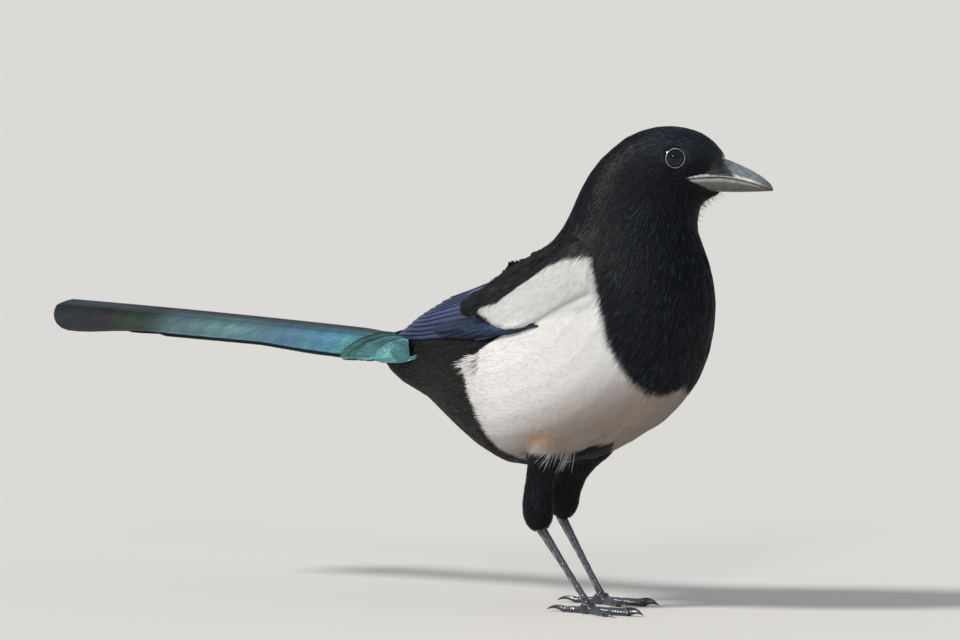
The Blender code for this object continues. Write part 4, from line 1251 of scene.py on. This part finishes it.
wingTree = solidTree("torso", "wing_right", "wing_left")
wingFinish = featherFinish("wingSheen", 0.40, 0.22, Metallic=0.55, Specular_IOR_Level=0.25)
for sideName in ("right", "left"):
    makeWing(sideName)
print("wings are made")


# Points between stations on a smooth line through them
def smoothCurve(stations, count):
    table = np.array(stations, float)
    table = np.vstack([2 * table[0] - table[1], table, 2 * table[-1] - table[-2]])
    place = np.linspace(0, len(stations) - 1, count)
    k = np.minimum(place.astype(int), len(stations) - 2)
    t = (place - k)[:, None]
    a, b, c, d = table[k], table[k + 1], table[k + 2], table[k + 3]
    return 0.5 * (2 * b + (c - a) * t + (2 * a - 5 * b + 4 * c - d) * t**2 + (3 * b - a - 3 * c + d) * t**3)


# A closed form over rings of points, bridged one to the next
def loftRings(name, rings):
    work = bmesh.new()
    before = None
    for ring in rings:
        made = bmesh.ops.create_circle(work, segments=len(ring), radius=1.0)["verts"]
        for vert, place in zip(made, ring):
            vert.co = place
        edges = list({edge for vert in made for edge in vert.link_edges})
        if before:
            bmesh.ops.bridge_loops(work, edges=before + edges)
        before = edges
    bmesh.ops.holes_fill(work, edges=[edge for edge in work.edges if edge.is_boundary])
    bmesh.ops.recalc_face_normals(work, faces=work.faces)
    mesh = bpy.data.meshes.new(name)
    work.to_mesh(mesh)
    work.free()
    mesh.shade_smooth()
    return mesh


beak = {
    # place along the head, ridge, line of the mouth, underside, half width, in mm
    "stations": ((44.5, 213.4, 211.2, 206.6, 14.0), (48, 215.0, 211.3, 205.0, 12.7), (51, 216.6, 211.5, 204.2, 10.9),
                 (54, 218.0, 211.6, 203.8, 9.2), (57.5, 219.2, 211.6, 203.7, 8.1), (62.8, 220.0, 211.5, 203.7, 7.2), (69, 217.9, 210.5, 203.6, 5.9), (76.4, 214.4, 208.6, 203.7, 4.4),
                 (82.2, 210.9, 206.7, 203.9, 3.0), (86, 207.5, 205.3, 204.1, 1.5), (87.3, 205.2, 204.7, 204.35, 0.35)),
    "rings": 56,
    "around": 40,
    "gap": 0.45,
    # painted sheen on the upper side of the upper mandible
    "slateSheen": (0.200, 0.236, 0.268),
    "grey": (0.112, 0.108, 0.100),
    # painted highlight along the cutting edges
    "pale": (0.96, 0.94, 0.90),
    "dark": (0.018, 0.018, 0.020),
}


def beakMesh(upper):
    around = np.linspace(0, 2 * math.pi, beak["around"], endpoint=False)
    cosine, sine = np.cos(around), np.sin(around)
    rings, tints = [], []
    for x, top, mouth, under, half in smoothCurve(beak["stations"], beak["rings"]):
        lip = 0.22 * np.exp(-(sine / 0.2) ** 2) * np.sign(cosine) * min(half / 3, 1)
        if upper:
            y = half * cosine + lip
            z = mouth + np.where(sine > 0, (top - mouth) * sine, -0.25 * sine)
        else:
            y = (half * 0.95) * cosine + 0.4 * lip
            low = mouth - beak["gap"] * min(half / 3, 1)
            z = low + np.where(sine > 0, 0.1 * sine, (low - under) * sine)
        rings.append(fromBird(headToBird(np.stack([np.full_like(y, x), y, z], 1))))
        height = (z - mouth) / max(top - mouth, 0.5) if upper else (mouth - z) / max(mouth - under, 0.5)
        height = height[:, None]
        if upper:
            # painted sheen on the upper side, and a painted highlight in a pale line along the cutting edges
            tint = np.array(beak["grey"]) + (np.array(beak["slateSheen"]) - beak["grey"]) * smoothStep(0.15, 0.5, height)
            edge = np.exp(-((height - 0.11) / 0.13) ** 2) * (sine > -0.2)[:, None]
        else:
            tint = np.array(beak["grey"]) * (1.15 - 0.4 * smoothStep(0.3, 1.0, height))
            edge = 0.5 * np.exp(-((height - 0.16) / 0.10) ** 2)
        edge = edge * (smoothStep(43, 50, x) * (1 - 0.75 * smoothStep(76, 86, x)))
        tint = tint * (1 - edge) + np.array(beak["pale"]) * edge
        inside = ((sine < -0.15) if upper else (sine > 0.15))[:, None]
        tint = np.where(inside, np.array(beak["dark"]), tint)
        worn = smoothStep(79, 87, x)
        tints.append(tint * (1 - 0.45 * worn))
    mesh = loftRings("beak", rings)
    places = np.concatenate(rings)
    tints = [np.concatenate(tints) * (1 + 0.20 * mottle(inBird(places), 2.4, 61) + 0.12 * mottle(inBird(places), 1.1, 62))[:, None]]
    tree = KDTree(len(places))
    for i, place in enumerate(places):
        tree.insert(place, i)
    tree.balance()
    colours = np.concatenate(tints)
    paintTint(mesh, np.array([colours[tree.find(vert.co)[1]] for vert in mesh.vertices]))
    return mesh


# Horn: long fine streaks, small pits and a soft gloss
def hornFinish(name, roughness, depth):
    finish, nodes, links, shader = tintedFinish(name, roughness, 620, 0.55, Coat_Weight=0.12, Coat_Roughness=0.35)
    coords = nodes.new("ShaderNodeTexCoord")
    turned = nodes.new("ShaderNodeMapping")
    turned.inputs["Rotation"].default_value = (0, 0, -math.radians(bird["headTurn"]))
    turned.inputs["Scale"].default_value = (300, 1600, 1600)
    streaks = nodes.new("ShaderNodeTexNoise")
    streaks.inputs["Scale"].default_value = 1.0
    streaks.inputs["Detail"].default_value = 5
    bump = nodes.new("ShaderNodeBump")
    bump.inputs["Strength"].default_value = 0.5
    bump.inputs["Distance"].default_value = depth
    links.new(coords.outputs["Object"], turned.inputs["Vector"])
    links.new(turned.outputs["Vector"], streaks.inputs["Vector"])
    links.new(streaks.outputs["Fac"], bump.inputs["Height"])
    links.new(bump.outputs["Normal"], shader.inputs["Normal"])
    return finish


def makeBeak():
    finish = hornFinish("beakHorn", 0.36, 0.00012)
    for name, upper in (("upper", True), ("lower", False)):
        piece = newObject("beak" + name.capitalize(), beakMesh(upper), finish)
        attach(piece, "root")
        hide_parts("bill_" + name)


# Curved hairs from given roots: way and normal at the root, length and width in mm
def hairPiece(name, roots, ways, normals, length, width, bow, tints, finish):
    across = unit(np.cross(normals, ways))
    rings, colours, shading = [], [], []
    for k, share in enumerate(coat["shares"]):
        at = roots + ways * (length * share)[:, None] + normals * (bow * length * (share - share**2) * 2 - 0.1)[:, None]
        half = (width * (0.5, 0.45, 0.3, 0.0)[k])[:, None]
        for side in ((-1, 1) if k < 3 else (0,)):
            rings.append(at + across * half * side)
            # painted shade towards each hair's root and painted light at its tip
            colours.append(tints * (0.7, 0.9, 1.0, 1.1)[k])
            shading.append(unit(normals + across * 0.3 * side))
    piece = newObject(name, bladesMesh(name, rings, colours, shading, roots), finish)
    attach(piece, "root")
    return piece


bristles = {
    "count": 1500,
    "frontTop": (61.5, 221.5),       # the front border of the bristles on the beak: at the ridge
    "frontLow": (69.0, 212.0),       # and just above the mouth
    "width": 0.20,
    "tint": (0.125, 0.118, 0.122),
    "browCount": 1300,
    "browTint": (0.022, 0.022, 0.026),
}


# Stiff bristles that lie forward over the root of the beak
def makeBristles():
    rng = np.random.default_rng(bird["seed"] + 21)
    count = bristles["count"]
    curve = smoothCurve(beak["stations"], 200)
    turn = rng.uniform(0.06, math.pi - 0.06, count)
    rise = np.sin(turn)
    front = bristles["frontLow"][0] + (bristles["frontTop"][0] - bristles["frontLow"][0]) * rise**1.3
    x = 53 + (front - 53) * rng.random(count) ** 0.8 * 0.85
    length = np.clip((front - x) * rng.uniform(0.75, 1.05, count), 1.5, 7.5)
    top, mouth, half = (np.interp(x, curve[:, 0], curve[:, k]) for k in (1, 2, 4))
    tall = top - mouth
    roots = np.stack([x, half * np.cos(turn), mouth + 0.6 + (tall - 0.6) * rise], 1)
    normals = unit(np.stack([np.full(count, 0.12), np.cos(turn) / half, rise / tall], 1))
    ahead = np.minimum(x + length, 86)
    topEnd, mouthEnd, halfEnd = (np.interp(ahead, curve[:, 0], curve[:, k]) for k in (1, 2, 4))
    ends = np.stack([ahead, halfEnd * np.cos(turn), mouthEnd + 0.5 + (topEnd - mouthEnd - 0.5) * rise**1.15], 1)
    ways = unit(ends - roots + rng.normal(0, 0.35, (count, 3)) * np.array([0, 1, 1]))
    roots = roots + normals * (0.15 + 1.1 * smoothStep(60, 53, x) + rng.uniform(0, 0.3, count))[:, None]
    tints = np.array(bristles["tint"]) * rng.uniform(0.35, 1.7, (count, 1))
    spin = lambda vectors: headToBird(vectors + np.array([bird["neckX"], 0, 0])) - np.array([bird["neckX"], 0, 0])
    finish, *_ = tintedFinish("bristleFinish", 0.5, 900, 0.2, Specular_IOR_Level=0.4)
    hairPiece("noseBristles", headToBird(roots), spin(ways), spin(normals), length,
              bristles["width"] * rng.uniform(0.6, 1.3, count), 0.06, tints, finish)
    places = inBird(readPoints(skin.data))
    normals = meshNormals(skin.data)
    straight = straightHead(places)
    brow = np.nonzero((straight[:, 0] > 55) & (straight[:, 0] < 61.5) & (places[:, 2] > 213.5))[0]
    index = rng.choice(brow, bristles["browCount"])
    count = len(index)
    ahead = spin(np.array([[1.0, 0, -0.35]]))[0] + rng.normal(0, 0.16, (count, 3))
    ways = unit(ahead - normals[index] * ((ahead * normals[index]).sum(1) * 0.92)[:, None])
    hairPiece("browBristles", places[index] + normals[index] * 0.25, ways, normals[index], rng.uniform(2.6, 4.6, count),
              bristles["width"] * rng.uniform(0.7, 1.4, count), 0.05,
              np.array(bristles["browTint"]) * rng.uniform(0.3, 1.8, (count, 1)), finish)


# Fine hairs that stand off the chin and throat
def makeBeard():
    rng = np.random.default_rng(bird["seed"] + 22)
    mesh = skin.data
    places = inBird(readPoints(mesh))
    normals = meshNormals(mesh)
    straight = straightHead(places)
    ahead = straightHead(places + normals) - straight
    chin = (straight[:, 0] > 48) & (straight[:, 0] < 66) & (places[:, 2] > 192) & (places[:, 2] < 204.5) & (ahead[:, 2] < -0.3)
    throat = (straight[:, 0] > 30) & (places[:, 2] > 178) & (places[:, 2] < 200) & (ahead[:, 0] > 0.75)
    index = np.concatenate([rng.choice(np.nonzero(chin)[0], 110), rng.choice(np.nonzero(throat)[0], 70)])
    count = len(index)
    drop = headToBird([[bird["neckX"] + 0.75, 0, -0.65]])[0] - np.array([bird["neckX"], 0, 0])
    ways = unit(normals[index] * 0.55 + drop + rng.normal(0, 0.16, (count, 3)))
    length = rng.uniform(3.0, 5.2, count)
    finish, *_ = tintedFinish("hairFinish", 0.5, 900, 0.1)
    hairPiece("beardHairs", places[index], ways, unit(normals[index]), length, np.full(count, 0.13), 0.05,
              np.full((count, 3), 0.02), finish)


# Loose white wisps over the thighs and behind the flanks: where they root, which way they lie, count and length
wisps = (
    {"low": (-13, -33, 73.5), "high": (-2, -17, 79), "way": (-0.52, 0.0, -0.82), "count": 46, "length": (7, 12), "lift": 0.10},
    {"low": (-52, -45, 117), "high": (-43, -26, 132), "way": (-0.92, 0.0, -0.34), "count": 120, "length": (4, 9), "lift": 0.26},
    {"low": (-52, 26, 117), "high": (-43, 45, 132), "way": (-0.92, 0.0, -0.34), "count": 120, "length": (4, 9), "lift": 0.26},
)


def makeWisps(finish):
    rng = np.random.default_rng(bird["seed"] + 23)
    places = inBird(readPoints(skin.data))
    normals = meshNormals(skin.data)
    for number, group in enumerate(wisps):
        chosen = ((places > group["low"]) & (places < group["high"])).all(1) & (whiteShare(places) > 0.5)
        count = group["count"]
        index = rng.choice(np.nonzero(chosen)[0], count)
        ways = np.array(group["way"]) + normals[index] * group["lift"] + rng.normal(0, 0.20, (count, 3))
        tints = plumage(places[index]) * rng.uniform(0.8, 1.05, (count, 1))
        tints = np.maximum(tints, 0.5)
        hairPiece(f"wisps{number}", places[index] + normals[index], unit(ways), normals[index], rng.uniform(*group["length"], count),
                  rng.uniform(0.14, 0.38, count), 0.10, tints, finish)


def makeEye(sideName, glass, rim):
    side = -1 if sideName == "right" else 1
    centre = eyePlaces[sideName]
    look = lookWay(side)
    work = bmesh.new()
    bmesh.ops.create_uvsphere(work, u_segments=56, v_segments=36, radius=eyeRadius)
    turn = Vector((0, 0, 1)).rotation_difference(Vector(look)).to_matrix()
    bmesh.ops.rotate(work, verts=work.verts, matrix=turn)
    mesh = bpy.data.meshes.new("eye")
    work.to_mesh(mesh)
    work.free()
    points = readPoints(mesh)
    along = points @ look
    off = np.linalg.norm(points - along[:, None] * look, axis=1)
    front = along > 0
    points += look * (0.45 * np.exp(-(off / 3.2) ** 2) * front)[:, None]
    tint = np.where((off < eyes["pupil"])[:, None], eyes["pupilTint"], eyes["irisTint"])
    ring = smoothStep(eyes["iris"] - 0.9, eyes["iris"], off)[:, None]
    tint = tint * (1 - ring) + np.array(eyes["rimTint"]) * ring
    writePoints(mesh, fromBird(points + centre))
    paintTint(mesh, tint)
    mesh.shade_smooth()
    ball = newObject("eyeball" + sideName.capitalize(), mesh, glass)
    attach(ball, "root")
    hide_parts("eye_" + sideName)
    work = bmesh.new()
    bmesh.ops.create_circle(work, segments=10, radius=eyes["lidThickness"])
    bmesh.ops.rotate(work, verts=work.verts, matrix=Matrix.Rotation(math.pi / 2, 3, "X"))
    bmesh.ops.translate(work, verts=work.verts, vec=(eyes["lidRadius"], 0, 0))
    bmesh.ops.spin(work, geom=work.verts[:] + work.edges[:], cent=(0, 0, 0), axis=(0, 0, 1), angle=2 * math.pi,
                   steps=72, use_merge=True, use_duplicate=False)
    bmesh.ops.recalc_face_normals(work, faces=work.faces)
    bmesh.ops.translate(work, verts=work.verts, vec=(0, 0, math.sqrt(eyeRadius**2 - eyes["lidRadius"] ** 2) + 0.6))
    bmesh.ops.rotate(work, verts=work.verts, matrix=turn)
    mesh = bpy.data.meshes.new("lid")
    work.to_mesh(mesh)
    work.free()
    points = readPoints(mesh)
    # the pale, mottled tint is a painted highlight along the lid's edge
    glow = 0.75 + 0.25 * mottle(points, 5, 8)
    writePoints(mesh, fromBird(points + centre))
    paintTint(mesh, np.array(eyes["lidHighlight"]) * glow[:, None])
    mesh.shade_smooth()
    lid = newObject("lidRim" + sideName.capitalize(), mesh, rim)
    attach(lid, "root")


def makeHeadParts():
    makeBeak()
    makeBristles()
    makeBeard()
    makeWisps(bpy.data.materials["whiteCoat"])
    glass, *_ = tintedFinish("eyeGlass", 0.05, 300, 0.15, Specular_IOR_Level=0.3)
    rim, *_ = tintedFinish("lidSkin", 0.4, 1500, 0.3)
    for sideName in ("right", "left"):
        makeEye(sideName, glass, rim)


makeHeadParts()
print("beak, bristles and eyes are made")


legs = {
    "voxel": 0.30 * mm,
    "smoothing": 8,
    "heel": {"right": (-19, -22, 39), "left": (-37.5, 22, 40.5)},
    "foot": {"right": (9, -23, 4.5), "left": (-15, 23, 4.5)},
    "shankPlate": 2.7,          # height of a plate on the front of the shank, in mm
    "toePlate": 1.7,
    "groove": 0.16,
    "tint": (0.020, 0.022, 0.027),
    # painted sheen on the front plates
    "plateSheen": (0.046, 0.056, 0.080),
    "sideTint": (0.165, 0.158, 0.142),
}


# Copies of solids as one finely divided, softened surface
def fineCopy(name, nodes, voxel, rounds):
    joined = bpy.data.meshes.new(name)
    whole = bmesh.new()
    for node in nodes:
        part = fleshCopy(node)
        part.to_mesh(joined)
        part.free()
        whole.from_mesh(joined)
    whole.to_mesh(joined)
    whole.free()
    piece = newObject(name, joined)
    remesh = piece.modifiers.new("remesh", "REMESH")
    remesh.mode = "VOXEL"
    remesh.voxel_size = voxel
    mesh = applyModifiers(piece)
    writePoints(mesh, relax(readPoints(mesh), meshEnds(mesh), rounds))
    mesh.shade_smooth()
    return piece


def plateGroove(place, length):
    share = np.mod(place / length, 1.0) - 0.5
    return np.exp(-(share / 0.09) ** 2)


def makeLeg(sideName, finish, clawFinish):
    heel, foot = np.array(legs["heel"][sideName], float), np.array(legs["foot"][sideName], float)
    down = (foot - heel) / np.linalg.norm(foot - heel)
    front = unit(np.array([1.0, 0, 0]) - down * down[0])
    leg = fineCopy("legScales" + sideName.capitalize(), ["shank_" + sideName, "foot_" + sideName], legs["voxel"], legs["smoothing"])
    mesh = leg.data
    places = inBird(readPoints(mesh))
    blended = relax(places, meshEnds(mesh), 30, 0.5, -0.25)      # the foot grows out of the shank
    near = smoothStep(9.5, 5.5, np.linalg.norm(places - foot, axis=1))[:, None]
    places = places * (1 - near) + blended * near
    writePoints(mesh, fromBird(places))
    normals = meshNormals(mesh)
    along = (places - heel) @ down
    out = np.linalg.norm((places - foot)[:, :2], axis=1)
    shank = smoothStep(6.5, 9, places[:, 2])
    facing = shank * smoothStep(-0.1, 0.4, normals @ front) * smoothStep(4, 7, along)
    facing += (1 - shank) * smoothStep(0.1, 0.6, normals[:, 2]) * smoothStep(2, 5, out)
    groove = (shank * plateGroove(along, legs["shankPlate"]) + (1 - shank) * plateGroove(out, legs["toePlate"])) * facing
    places = places - normals * (legs["groove"] * groove)[:, None]
    places[:, 2] = np.maximum(places[:, 2], 0.02)
    writePoints(mesh, fromBird(places))
    # painted sheen: the front plates of the shank and the tops of the toes lighter and bluer, away from the grooves
    shine = (0.15 + 0.85 * facing * (1 - groove))[:, None]
    side = (shank * smoothStep(0.3, -0.2, normals @ front))[:, None]       # paler, mottled scales beside the plates
    tint = np.array(legs["tint"]) * (1 - shine) + np.array(legs["plateSheen"]) * shine
    pale = np.array(legs["sideTint"]) * np.clip(0.6 + 0.6 * mottle(places * np.array([1, 1, 0.6]), 1.8, 12), 0.12, 1.3)[:, None]
    paintTint(mesh, tint * (1 - side) + pale * side)
    toeNames = ["claw_" + sideName + "_" + toe for toe in ("middle", "inner", "outer", "hind")]
    claws = fineCopy("claws" + sideName.capitalize(), toeNames, 0.22 * mm, 4)
    places = inBird(readPoints(claws.data))
    places[:, 2] = np.maximum(places[:, 2], 0.02)
    writePoints(claws.data, fromBird(places))
    paintTint(claws.data, np.array(beak["dark"]) * (1.3 + 0.5 * mottle(places, 3, 9))[:, None])
    for piece, nodes in ((leg, ["shank_" + sideName, "foot_" + sideName]), (claws, toeNames)):
        piece.data.materials.clear()
        piece.data.materials.append(clawFinish if piece is claws else finish)
        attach(piece, "root")
        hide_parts(*nodes)


def makeLegs():
    finish, *_ = tintedFinish("legScales", 0.30, 1300, 0.25, Specular_IOR_Level=0.5, Coat_Weight=0.3, Coat_Roughness=0.15)
    clawFinish, *_ = tintedFinish("clawHorn", 0.28, 900, 0.2, Specular_IOR_Level=0.5, Coat_Weight=0.3)
    for sideName in ("right", "left"):
        makeLeg(sideName, finish, clawFinish)


makeLegs()
print("legs, toes and claws are made")
